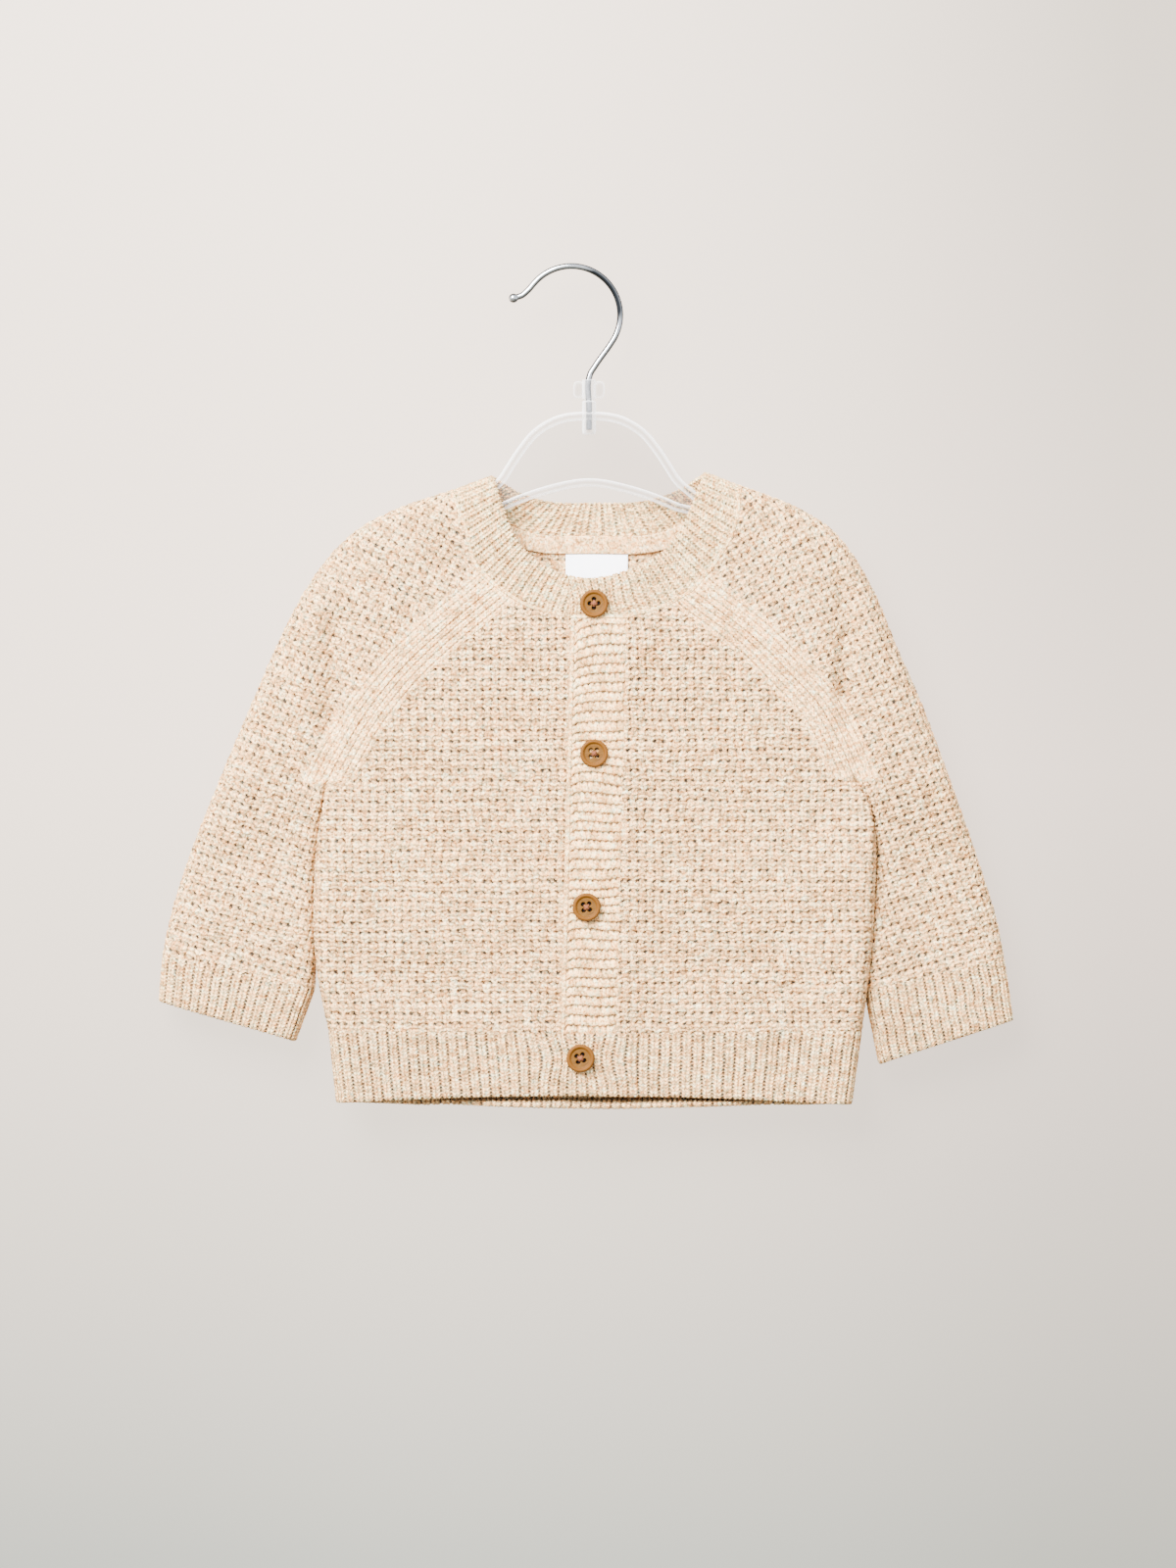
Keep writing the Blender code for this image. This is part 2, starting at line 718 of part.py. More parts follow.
def front_plan(side):
    """Plan of a front: columns from the middle to the side, rows from the hem seam to the neckband."""
    outer = side_line(SIDE_SEAM[side], FRONT_RAGLAN[side], lower_steps(SIDE_SEAM[side]))
    offset = BAND_TUCK if side == "right" else BAND_WIDTH
    neck = np.array(NECK_FRONT[side], float)
    centre = band_line(offset, neck[-1, 1])
    neck[-1] = centre[-1]
    share = run_length(outer) / run_length(outer)[-1]
    centre = along(centre, share)
    top = smooth_line(neck[::-1], ACROSS)
    bottom = along(np.stack([centre[0], outer[0]]), ACROSS)
    return patch(bottom, top, centre, outer)


def build_front(name, side):
    plan = front_plan(side)
    sewn = [START, raglan(END), FIRST_ROW, LAST_ROW]
    lift = overlap_lift(plan) if side == "left" else 0.0
    sheet(name, plan, -1, BODY_EDGES, knit(), body_middle(plan), lift, sewn=sewn)
    return plan


def build_back(name):
    """The back, from the right side to the left side."""
    right, left = (
        side_line(SIDE_SEAM[side], BACK_RAGLAN[side], lower_steps(SIDE_SEAM[side]))
        for side in ("right", "left")
    )
    half = (1 - ACROSS[:1:-1]) / 2
    across = np.concatenate([half, 1 - half[-2::-1]])
    bottom = along(np.stack([right[0], left[0]]), across)
    top = smooth_line(NECK_BACK, across)
    plan = patch(bottom, top, right, left)
    sewn = [raglan(START), raglan(END), FIRST_ROW, LAST_ROW]
    sheet(name, plan, 1, BODY_EDGES, knit(), body_middle(plan), sewn=sewn)
    return plan


def sleeve_middle(plan):
    """A sleeve drops behind the middle plane below the armpit, row by row."""
    armpit = len(plan) - 1 - ROWS_YOKE
    below = np.linalg.norm(plan[:, 0] - plan[armpit, 0], axis=-1)
    below[armpit:] = 0
    return np.broadcast_to((SLEEVE_BACK * ease(below / DROP_LENGTH))[:, None], plan.shape[:2])


def sleeve_plan(side):
    """Plan of a sleeve: columns from the front seam over the fold to the back seam, rows upwards."""
    steps = lower_steps(UNDERARM[side])
    front = side_line(UNDERARM[side], FRONT_RAGLAN[side], steps)
    back = side_line(UNDERARM[side], BACK_RAGLAN[side], steps)
    fold = side_line(SLEEVE_FOLD[side], ARM_FOLD[side][::-1], steps)
    cuff = along(np.stack([front[0], fold[0]]), ACROSS_SLEEVE)
    front_top = smooth_line(NECK_SLEEVE_FRONT[side], ACROSS_SLEEVE)
    back_top = smooth_line(NECK_SLEEVE_BACK[side], 1 - ACROSS_SLEEVE[::-1])
    front_half = patch(cuff, front_top, front, fold)
    back_half = patch(cuff[::-1], back_top, fold, back)
    return np.concatenate([front_half, back_half[:, 1:]], axis=1)


def around():
    """-1 on the front half of a sleeve's columns, 0 on its fold and +1 on the back half."""
    steps = len(ACROSS_SLEEVE) - 1
    return np.concatenate([-np.ones(steps), [0], np.ones(steps)])


def build_sleeve(name, side):
    plan = sleeve_plan(side)
    edges = [ARM_EDGE[side], INNER_EDGE[side]]
    sewn = [raglan(START), raglan(END), FIRST_ROW, LAST_ROW]
    sheet(name, plan, around(), edges, knit(), sleeve_middle(plan), sewn=sewn)
    return plan


def build_cuff(name, side, sleeve):
    """Rib from the cuff seam to the free end, round the sleeve."""
    outer, inner = (np.array(corner) for corner in CUFF_END[side])
    end = along(np.stack([inner, outer]), ACROSS_SLEEVE)
    plan = np.stack([np.concatenate([end, end[-2::-1]]), sleeve[0]])
    edges = [ARM_EDGE[side], INNER_EDGE[side]]
    ribbed(name, plan, around(), edges, lambda p: flush(p) + SLEEVE_BACK, flush, [LAST_ROW])


def build_hem(right_front, left_front, back, under_band):
    """Hem rib of each front and of the back."""
    corner_right, corner_left = np.array(HEM_CORNER["right"]), np.array(HEM_CORNER["left"])

    def front_rib(name, seam, start_x, corner, lift):
        middle = np.array([start_x, HEM_FRONT_Z])
        half_way = 0.45 * middle + 0.55 * corner + HEM_ARCH
        end = smooth_line([middle, half_way, corner], even(HEM_STEPS))
        plan = np.stack([end, along(seam, even(HEM_STEPS))])
        ribbed(name, plan, -np.ones(HEM_STEPS + 1), BODY_EDGES, body_middle, lift, [LAST_ROW])

    seam = np.concatenate([under_band[0][::-1], right_front[0]])
    start = BAND_EDGE_END.x + BAND_WIDTH - UNDER_SHORT
    front_rib("right_front_rib", seam, start, corner_right, flush)
    seam = np.concatenate([[BAND_EDGE_HEM], left_front[0]])
    front_rib("left_front_rib", seam, BAND_EDGE_END.x, corner_left, overlap_lift)
    low = np.array([0.0, HEM_BACK_Z])
    end = smooth_line([corner_right, low, corner_left], even(2 * HEM_STEPS))
    plan = np.stack([end, along(back[0], even(2 * HEM_STEPS))])
    ribbed("back_rib", plan, np.ones(2 * HEM_STEPS + 1), BODY_EDGES, body_middle, flush, [LAST_ROW])


def build_bands(right_front, left_front):
    """The under band, and the band on top with its ridges across."""
    ridges = 2 * round((BAND_EDGE_TOP.z - HEM_SEAM_Z) / BAND_PITCH)
    under_end = BAND_WIDTH - UNDER_SHORT
    under = band_plan(BAND_TUCK, under_end, right_front[-1, 0, 1], BAND_EDGE_TOP.z, ROWS_BAND)
    over = band_plan(0.0, BAND_WIDTH, BAND_EDGE_TOP.z, left_front[-1, 0, 1], ridges)
    sheet("button_band", under, -1, BODY_EDGES, rib(), sewn=[START, FIRST_ROW, LAST_ROW])
    sunk = RIB_RELIEF * (np.arange(ridges + 1) % 2)[:, None]
    sewn = [END, FIRST_ROW, LAST_ROW]
    sheet("buttonhole_band", over, -1, BODY_EDGES, rib(), 0.0, overlap_lift(over), sunk, sewn=sewn)
    return under, over


def band_plan(start, end, top_start, top_end, steps):
    """Plan of a front band: columns across it, rows up it."""
    first = along(band_line(start, top_start), even(steps))
    last = along(band_line(end, top_end), even(steps))
    return np.stack([first, last], axis=1)


def build_neckband(front_right, over_back, front_left):
    """Rib from the neckband seam to the free edge, from under the front overlap round to its top.

    Each argument holds the top rows of the panels that this stretch of it is sewn to, in order.
    """
    steps = even(NECK_STEPS)
    seam = [along(np.concatenate(rows), steps) for rows in (front_right, over_back, front_left)]
    edge = [smooth_line(line, steps) for line in (NECK_EDGE_RIGHT, NECK_EDGE_BACK, NECK_EDGE_LEFT)]
    seam, edge = (np.concatenate([line[0], line[1][1:], line[2][1:]]) for line in (seam, edge))
    plan = np.stack([seam + NECK_CLEAR * (edge - seam), edge])
    front, back, fold = -np.ones(NECK_STEPS), np.ones(NECK_STEPS - 1), [0]
    face = np.concatenate([front, fold, back, fold, front])

    def lift(part):
        """Only the end on top is lifted, and that is the second front stretch."""
        on_top = np.arange(part.shape[1]) > part.shape[1] / 2
        return overlap_lift(part) * on_top

    ribbed("neckband", plan, face, BODY_EDGES, flush, lift, [FIRST_ROW])


def build_tape_and_label(back_top):
    """Tape over the back neck seam, inside, and the bare label that hangs from it."""
    under = CLOTH + SEAM_GAP
    line = along(back_top, np.linspace(*TAPE_ENDS, TAPE_STEPS + 1))
    up = np.array([0, TAPE_HEIGHT])
    tape = np.stack([line - TAPE_DROP * up, line + (1 - TAPE_DROP) * up])
    sheet("neck_tape", tape, 1, BODY_EDGES, rib(), under=under, thick=TAPE_THICK)
    width, height = LABEL_SIZE
    top = back_top[len(back_top) // 2, 1] - TAPE_DROP * TAPE_HEIGHT - SEAM_GAP
    x = LABEL_X + np.array([-width / 2, width / 2])
    z = top - np.array([height, height / 2, 0])
    label = np.stack(np.meshgrid(x, z), -1)
    white = material("label_white", (0.92, 0.93, 0.96), 0.6)
    sheet("label", label, 1, BODY_EDGES, white, under=under, thick=LABEL_THICK)


# ---------------------------------------------------------------- buttons
def turned(profile, segments):
    """A closed shape turned about Y from a profile of (radius, y) points that starts and ends at 0."""
    shape = bmesh.new()
    points = [shape.verts.new((radius, y, 0)) for radius, y in profile]
    edges = [shape.edges.new(pair) for pair in zip(points[:-1], points[1:])]
    turn = 2 * math.pi
    bmesh.ops.spin(
        shape, geom=[*points, *edges], axis=(0, 1, 0), cent=(0, 0, 0), angle=turn, steps=segments
    )
    bmesh.ops.remove_doubles(shape, verts=shape.verts, dist=1e-6)
    bmesh.ops.recalc_face_normals(shape, faces=shape.faces)
    return shape


def build_buttons():
    """Four turned buttons, dished inside a raised rim, with four holes."""
    profile = np.array(BUTTON_PROFILE) * (BUTTON_RADIUS, -BUTTON_THICK)
    for number, button in enumerate(BUTTONS, 1):
        shape = turned(profile.tolist(), BUTTON_SEGMENTS)
        mesh = bpy.data.meshes.new(f"button_{number}")
        shape.to_mesh(mesh)
        shape.free()
        obj = link(f"button_{number}", mesh, wood())
        obj.location = (button.x, button_seat(button), button.z)
        cutter = four_holes(f"button_{number}_holes", math.radians(button.turn))
        cutter.parent = obj
        cut = obj.modifiers.new("holes", "BOOLEAN")
        cut.operation = "DIFFERENCE"
        cut.object = cutter


def button_seat(button):
    """y of a button's back: a gap in front of the foremost point of the layer under it."""
    heights = button.z + BUTTON_RADIUS * np.array([-1, 0, 1])
    plan = np.stack([np.full(3, button.x), heights], -1)[None]
    foremost = surface(plan, -1, BODY_EDGES, 0.0)[0][..., 1].min()
    return foremost - (CLOTH + SEAM_GAP) - SEAM_GAP


def four_holes(name, turn):
    """Cutter: four short rods square on a ring."""
    shape = bmesh.new()
    for k in range(4):
        angle = turn + math.pi / 4 + k * math.pi / 2
        made = bmesh.ops.create_cone(
            shape, cap_ends=True, segments=6, radius1=HOLE_RADIUS, radius2=HOLE_RADIUS, depth=0.02
        )
        bmesh.ops.rotate(shape, verts=made["verts"], matrix=Matrix.Rotation(math.pi / 2, 3, "X"))
        offset = (HOLE_RING * math.cos(angle), 0, HOLE_RING * math.sin(angle))
        bmesh.ops.translate(shape, verts=made["verts"], vec=offset)
    mesh = bpy.data.meshes.new(name)
    shape.to_mesh(mesh)
    shape.free()
    cutter = bpy.data.objects.new(name, mesh)
    bpy.context.scene.collection.objects.link(cutter)
    hide_cutter(cutter)
    return cutter


def hide_cutter(cutter):
    cutter.hide_render = True
    cutter.display_type = "WIRE"


# ---------------------------------------------------------------- hanger
def hanger_outline():
    """The hanger's outline in the X-Z plane, clockwise from the top of the dome.

    The arms' upper edge is the shoulder line moved in by the cloth and a gap, so that the cloth
    rests on it all along.
    """
    halves = []
    for side, sign in (("left", 1), ("right", -1)):
        rows = smooth_line(ARM_FOLD[side][::-1], yoke_steps())[::-1]
        shoulder = np.concatenate([SHOULDER[side][:1], rows])
        top = moved_in(shoulder, CLOTH + ARM_CLEAR)
        reach = abs(ARM_REACH[side])
        ahead = np.abs(top[:, 0])
        end = [np.interp(reach, ahead, top[:, 0]), np.interp(reach, ahead, top[:, 1])]
        top = np.concatenate([top[ahead < reach - ARM_LAST_ROW], [end]])
        dome = smooth_line(np.array(DOME) * (sign, 1), even(7))
        arch = smooth_line(np.array(ARCH) * (sign, 1), even(4))
        width = np.linspace(ARM_ROOT, ARM_TIP, 5)[:, None]
        lower = moved_in(along(top, np.linspace(LOWER_START, 1, 5)), width)
        tip = arm_tip(top[-1], lower[-1], sign)
        halves.append(np.array([*dome, *top, *tip, *lower[::-1], *arch[::-1]]))
    left, right = halves
    return np.concatenate([left, right[-2:0:-1]])


def moved_in(line, distance):
    """A line moved square to itself, down towards the inside of the garment."""
    tangent = np.gradient(line, axis=0)
    square = np.stack([tangent[:, 1], -tangent[:, 0]], -1)
    square *= np.where(square[:, 1:] > 0, -1, 1)
    return line + distance * square / np.linalg.norm(square, axis=-1, keepdims=True)


def arm_tip(top, bottom, sign):
    """Half circle round an arm's end, without its two ends."""
    centre, radius = (top + bottom) / 2, np.linalg.norm(top - bottom) / 2
    start = math.atan2(top[1] - bottom[1], top[0] - bottom[0])
    angles = start - sign * np.pi * even(4)[1:-1]
    return centre + radius * np.stack([np.cos(angles), np.sin(angles)], -1)


def build_hanger():
    """Rimmed plate with a socket for the hook in its dome."""
    outline = hanger_outline()
    shape = bmesh.new()
    front = [shape.verts.new((x, -HANGER_HALF, z)) for x, z in outline]
    face = shape.faces.new(front)
    made = bmesh.ops.extrude_face_region(shape, geom=[face])["geom"]
    back = [v for v in made if isinstance(v, bmesh.types.BMVert)]
    bmesh.ops.translate(shape, verts=back, vec=(0, 2 * HANGER_HALF, 0))
    bmesh.ops.recalc_face_normals(shape, faces=shape.faces)
    flats = [f for f in shape.faces if len(f.verts) > 4]
    rim_edges = [e for f in flats for e in f.edges]
    bmesh.ops.bevel(
        shape, geom=rim_edges, offset=RIM_ROUND, segments=2, affect="EDGES", clamp_overlap=True
    )
    flats = [f for f in shape.faces if len(f.verts) > 8]
    for width, depth in ((RIM_WIDTH - RIM_ROUND, 0.0), (WEB_STEP, PLATE_HALF - HANGER_HALF)):
        bmesh.ops.inset_individual(
            shape, faces=flats, thickness=width, depth=depth, use_even_offset=True
        )
    mesh = bpy.data.meshes.new("hanger_body")
    shape.to_mesh(mesh)
    shape.free()
    hanger = link("hanger_body", mesh, clear())
    socket = rod("socket", SOCKET_RADIUS, *SOCKET_Z, SOCKET_ROUND)
    bore = rod("socket_bore", WIRE_RADIUS + SEAM_GAP, *BORE_Z)
    for helper, operation in ((socket, "UNION"), (bore, "DIFFERENCE")):
        hide_cutter(helper)
        change = hanger.modifiers.new(helper.name, "BOOLEAN")
        change.operation = operation
        change.object = helper


def rod(name, radius, low, high, round_off=0.0):
    """An upright rod, its lower edge rounded off."""
    shape = bmesh.new()
    bmesh.ops.create_cone(
        shape, cap_ends=True, segments=16, radius1=radius, radius2=radius, depth=high - low
    )
    bmesh.ops.translate(shape, verts=shape.verts, vec=(0, 0, (low + high) / 2))
    if round_off:
        bottom = [e for e in shape.edges if all(v.co.z < low + 1e-6 for v in e.verts)]
        bmesh.ops.bevel(shape, geom=bottom, offset=round_off, segments=2, affect="EDGES")
    mesh = bpy.data.meshes.new(name)
    shape.to_mesh(mesh)
    shape.free()
    return link(name, mesh, clear())


def build_collar():
    """Clear ring with two ears that sits on the socket, round the hook's foot."""
    low, high = COLLAR_Z
    collar = rod("hook_collar", SOCKET_RADIUS, low, high)
    shape = bmesh.new()
    for sign in (-1, 1):
        made = bmesh.ops.create_cube(shape, size=1)
        bmesh.ops.scale(shape, verts=made["verts"], vec=EAR_SIZE)
        place = (sign * EAR_OFFSET, 0, (low + high) / 2)
        bmesh.ops.translate(shape, verts=made["verts"], vec=place)
    bmesh.ops.bevel(shape, geom=shape.edges[:], offset=EAR_ROUND, segments=1, affect="EDGES")
    mesh = bpy.data.meshes.new("ears")
    shape.to_mesh(mesh)
    shape.free()
    ears = link("ears", mesh, clear())
    bore = rod("collar_bore", WIRE_RADIUS + SEAM_GAP, low - WIRE_RADIUS, high + WIRE_RADIUS)
    for helper, operation in ((ears, "UNION"), (bore, "DIFFERENCE")):
        hide_cutter(helper)
        change = collar.modifiers.new(helper.name, "BOOLEAN")
        change.operation = operation
        change.object = helper


def build_hook():
    """Wire hook with a ball end: foot, bend, straight, round, and a turned-out tip."""
    centre = np.array(HOOK_CENTRE)
    angles = np.radians(np.linspace(*HOOK_ANGLES, HOOK_STEPS))
    arc = centre + HOOK_RADIUS * np.stack([np.cos(angles), np.sin(angles)], -1)
    route = np.array([*HOOK_FOOT, *arc, *HOOK_TIP])
    direction = route[-1] - route[-2]
    direction /= np.linalg.norm(direction)
    steps = np.array(BALL_STEPS)
    end = route[-1] + direction * BALL_RADIUS * steps[:, None]
    around_ball = BALL_RADIUS * np.sqrt(1 - (steps - 1) ** 2)
    curve = bpy.data.curves.new("hanger_hook", "CURVE")
    curve.dimensions = "3D"
    curve.bevel_depth = WIRE_RADIUS
    curve.bevel_resolution = 2
    curve.use_fill_caps = True
    spline = curve.splines.new("POLY")
    points = np.concatenate([route, end])
    radii = np.concatenate([np.ones(len(route)), around_ball / WIRE_RADIUS])
    spline.points.add(len(points) - 1)
    for target, (x, z), radius in zip(spline.points, points, radii):
        target.co = (x, 0, z, 1)
        target.radius = radius
    obj = bpy.data.objects.new("hanger_hook", curve)
    curve.materials.append(steel())
    bpy.context.scene.collection.objects.link(obj)


# ---------------------------------------------------------------- the whole
def main():
    for obj in list(bpy.data.objects):
        bpy.data.objects.remove(obj)
    right_front = build_front("right_front", "right")
    left_front = build_front("left_front", "left")
    back = build_back("back")
    right_sleeve = build_sleeve("right_sleeve", "right")
    left_sleeve = build_sleeve("left_sleeve", "left")
    build_cuff("right_cuff", "right", right_sleeve)
    build_cuff("left_cuff", "left", left_sleeve)
    under, over = build_bands(right_front, left_front)
    build_hem(right_front, left_front, back, under)
    fold = len(ACROSS_SLEEVE) - 1
    build_neckband(
        (under[-1][::-1], right_front[-1], right_sleeve[-1, : fold + 1]),
        (right_sleeve[-1, fold:], back[-1], left_sleeve[-1, fold:][::-1]),
        (left_sleeve[-1, : fold + 1][::-1], left_front[-1][::-1], over[-1][::-1]),
    )
    build_tape_and_label(back[-1])
    build_buttons()
    build_hanger()
    build_collar()
    build_hook()


main()
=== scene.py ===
"""Looks of a baby's raglan cardigan on its clear hanger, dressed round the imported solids.

Metres, +Z up, the front towards -Y. Right and left are the wearer's, so the right half lies at -X,
and the origin is the inside of the hook's bend.

The cloth is one flattened double layer. Every panel is laid out as a plan in the X-Z plane, and the
depth of a point follows from how far it lies from the nearest folded edge of the outline. Each
panel also gets stitch coordinates, counted in wales across and courses up. One set of formulas
turns those into the height of the knit, as relief on the mesh and as bump in the material.
"""

import logging
import math
from collections.abc import Callable, Sequence
from dataclasses import dataclass
from enum import Enum
from functools import cached_property
from typing import NamedTuple

import bpy
import numpy as np
from bpy.types import ColorRamp, Material, Node, NodeSocket, Object
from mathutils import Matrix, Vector

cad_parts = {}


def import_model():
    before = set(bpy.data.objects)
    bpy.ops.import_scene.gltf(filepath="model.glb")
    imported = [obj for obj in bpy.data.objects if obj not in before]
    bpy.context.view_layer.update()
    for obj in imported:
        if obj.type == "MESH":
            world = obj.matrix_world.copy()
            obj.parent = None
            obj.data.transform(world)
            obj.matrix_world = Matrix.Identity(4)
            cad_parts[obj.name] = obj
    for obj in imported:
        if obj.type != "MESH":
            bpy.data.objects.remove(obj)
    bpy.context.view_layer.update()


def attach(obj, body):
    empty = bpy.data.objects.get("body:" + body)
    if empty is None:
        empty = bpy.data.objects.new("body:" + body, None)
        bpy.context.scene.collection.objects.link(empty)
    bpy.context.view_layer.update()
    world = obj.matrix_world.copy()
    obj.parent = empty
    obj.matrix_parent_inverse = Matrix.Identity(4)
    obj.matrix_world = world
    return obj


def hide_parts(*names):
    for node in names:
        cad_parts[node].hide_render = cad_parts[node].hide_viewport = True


Array = np.ndarray
Colour = tuple[float, float, float]
Faces = Sequence[Array]  # arrays of faces, one row of point numbers a face
Input = object  # a number, a colour, a socket or a Value that goes into a node
log = logging.getLogger("cardigan")


class Side(Enum):
    """The wearer's right or left half."""

    RIGHT = "right"
    LEFT = "left"

    @property
    def sign(self) -> int:
        """-1 on the right half, which lies at -X, and 1 on the left."""
        return -1 if self is Side.RIGHT else 1


class Fold(NamedTuple):
    """A soft trough round a line from (x0, z0) to (x1, z1)."""

    x0: float
    z0: float
    x1: float
    z1: float
    half_width: float
    depth: float


# ---------------------------------------------------------------- sizes shared with the solids
Line = Sequence[tuple[float, float]]
CLOTH = 0.0024  # wall of knitted cloth
ROUND = CLOTH / 2  # how far a rounded free edge reaches beyond its last row
SEAM_GAP = 0.0003  # between two layers, face to face
RIB_PITCH = 0.0049  # one knit and one purl column of the 1 x 1 rib
BAND_PITCH = 0.0044  # one ridge of the front bands
BAND_WIDTH = 0.0265
UNDER_END = BAND_WIDTH - 0.0010  # where the button band underneath ends
RIB_COURSE = 0.0017
RIB_RELIEF = 0.00115
MOSS_WALE, MOSS_COURSE = 0.0039, 0.00242
RAGLAN_WALE, RAGLAN_COURSE = 0.0030, 0.0026  # of the plain knit beside the raglan seams
HEM_SEAM_Z = -0.3650
HEM_FRONT_Z = -0.3958  # at the middle, where the front hem is drawn up
HEM_BACK_Z = -0.4015  # at the middle, where the back hem hangs lower
BAND_EDGE = ((-0.0120, -0.3970), (-0.0134, -0.3650), (-0.0085, -0.1664))  # its free edge, upwards


@dataclass(frozen=True)
class Half:
    """Outline and seams of one half, as seen from the front, as places in x and z."""

    side: Side
    shoulder: Line
    arm_fold: Line
    sleeve_fold: Line
    underarm: Line
    cuff_end: Line
    side_seam: Line
    front_raglan: Line
    back_raglan: Line
    neck_front: Line
    neck_sleeve_front: Line
    neck_sleeve_back: Line
    neck_edge: Line
    hem_corner: tuple[float, float]

    def named(self, piece: str) -> str:
        """Name of a piece of this half."""
        return f"{self.side.value}_{piece}"

    @cached_property
    def arm_edge(self) -> Array:
        """Folded edge from the neck over the shoulder and down the sleeve to the cuff's end."""
        cuff = (self.sleeve_fold[-1], self.cuff_end[0])
        return fine_line(self.shoulder, self.arm_fold, self.sleeve_fold, cuff)

    @cached_property
    def inner_edge(self) -> Array:
        """Folded edge from the armpit down the inside of the sleeve."""
        return fine_line(self.underarm, (self.underarm[-1], self.cuff_end[1]))

    @cached_property
    def body_edge(self) -> Array:
        """Edge from the armpit down the side to the hem's corner."""
        return fine_line(self.side_seam, (self.side_seam[-1], self.hem_corner))


# ---------------------------------------------------------------- curves and grids
def run_length(points: Array) -> Array:
    """Length along a line up to each of its points, or up each column of a grid of points."""
    steps = np.linalg.norm(np.diff(points, axis=0), axis=-1)
    return np.concatenate([np.zeros_like(steps[:1]), steps.cumsum(axis=0)])


def along(points: Array, fractions: Array) -> Array:
    """Points at these fractions of the length of a line of straight stretches."""
    length = run_length(points)
    return np.stack([np.interp(fractions * length[-1], length, x) for x in points.T], axis=-1)


def smooth_line(points: Line | Array, fractions: Array) -> Array:
    """Smooth curve: a cubic between each two points that has their slopes at its ends.

    A point's slope is that of the parabola through it and its two neighbours.

    Args:
        points: Points that the curve goes through.
        fractions: Fractions of its length.

    Returns:
        The curve's points at these fractions.
    """
    points = np.array(points, float)
    knots = run_length(points)
    slopes = np.gradient(points, knots, axis=0)
    fine = np.linspace(0, knots[-1], 60 * len(points))
    k = np.clip(np.searchsorted(knots, fine, side="right") - 1, 0, len(knots) - 2)
    span = (knots[k + 1] - knots[k])[:, None]
    t = (fine - knots[k])[:, None] / span
    curve = (
        (2 * t**3 - 3 * t**2 + 1) * points[k]
        + (t**3 - 2 * t**2 + t) * span * slopes[k]
        + (3 * t**2 - 2 * t**3) * points[k + 1]
        + (t**3 - t**2) * span * slopes[k + 1]
    )
    return along(curve, fractions)


def even(count: int) -> Array:
    """Even fractions from 0 to 1, in this many steps."""
    return np.linspace(0, 1, count + 1)


def fine_line(*lines: Line) -> Array:
    """One finely divided line through several smooth stretches."""
    stretches = [smooth_line(line, even(24)) for line in lines]
    return np.concatenate([stretches[0], *[s[1:] for s in stretches[1:]]])


def ease(value: Array) -> Array:
    """0 below 0, 1 above 1 and smooth between."""
    value = np.clip(value, 0, 1)
    return value * value * (3 - 2 * value)


def patch(bottom: Array, top: Array, start: Array, end: Array) -> Array:
    """Grid of points between four boundary lines that meet at their ends.

    It is the sum of the two grids ruled between opposite lines, less the one ruled between the
    four corners.

    Args:
        bottom: First row, which runs from start to end.
        top: Last row, which runs the same way.
        start: First column, from bottom to top.
        end: Last column, the same way.

    Returns:
        Rows from bottom to top of columns from start to end.
    """
    v = run_length((start + end) / 2)[:, None, None]
    v = v / v[-1]
    u = run_length((bottom + top) / 2)[None, :, None]
    u = u / u[0, -1]
    ruled = (1 - v) * bottom[None] + v * top[None] + (1 - u) * start[:, None] + u * end[:, None]
    low, high = ((1 - u) * line[0] + u * line[-1] for line in (bottom, top))
    return ruled - ((1 - v) * low + v * high)


def nearest(plan: Array, line: Array) -> tuple[Array, Array]:
    """How far each place of a plan lies from a line.

    Args:
        plan: Grid of places in x and z.
        line: Points of the line, in x and z.

    Returns:
        The distance of each place to the line, and the run along the line up to the point of it
        that is nearest.
    """
    begin, step = line[:-1], np.diff(line, axis=0)
    squares = (step * step).sum(-1)
    run = run_length(line)
    flat = plan.reshape(-1, 2)
    distance, place = np.empty(len(flat)), np.empty(len(flat))
    at_once = 8192  # places, so that the arrays stay small
    for first in range(0, len(flat), at_once):
        part = slice(first, first + at_once)
        rel_x = flat[part, 0, None] - begin[:, 0]
        rel_z = flat[part, 1, None] - begin[:, 1]
        t = np.clip((rel_x * step[:, 0] + rel_z * step[:, 1]) / squares, 0, 1)
        squared = (rel_x - t * step[:, 0]) ** 2 + (rel_z - t * step[:, 1]) ** 2
        k = squared.argmin(-1)
        row = np.arange(len(k))
        distance[part] = np.sqrt(squared[row, k])
        place[part] = run[k] + t[row, k] * np.sqrt(squares[k])
    return distance.reshape(plan.shape[:-1]), place.reshape(plan.shape[:-1])


def edge_distance(plan: Array, *edges: Array, pressed: Sequence[Array] = ()) -> Array:
    """Distance of each place of a plan to the nearest of these edges.

    Body and sleeve lie against each other along a pressed edge. The cloth rounds off over a
    smaller width there, so its distance counts for more, and most of all at the armpit, where
    it never falls to nothing.

    Args:
        plan: Grid of places in x and z.
        edges: Lines of the folded edges.
        pressed: Lines of the pressed edges, from the armpit down.

    Returns:
        The distance of each place.
    """
    times, times_more, reach = 3.0, 9.0, 0.045  # all along, and as much more at the armpit
    least_there, least_reach = 0.0070, 0.024
    found = [nearest(plan, line)[0] for line in edges]
    for line in pressed:
        distance, run = nearest(plan, line)
        floor = least_there * ease(1 - run / least_reach)
        found.append(np.maximum(distance * (times + times_more * ease(1 - run / reach)), floor))
    return np.min(found, axis=0)


def band_edge_x(z: Array) -> Array:
    """x of the buttonhole band's free edge at this height."""
    edge = np.array(BAND_EDGE)
    return np.interp(z, edge[:, 1], edge[:, 0])


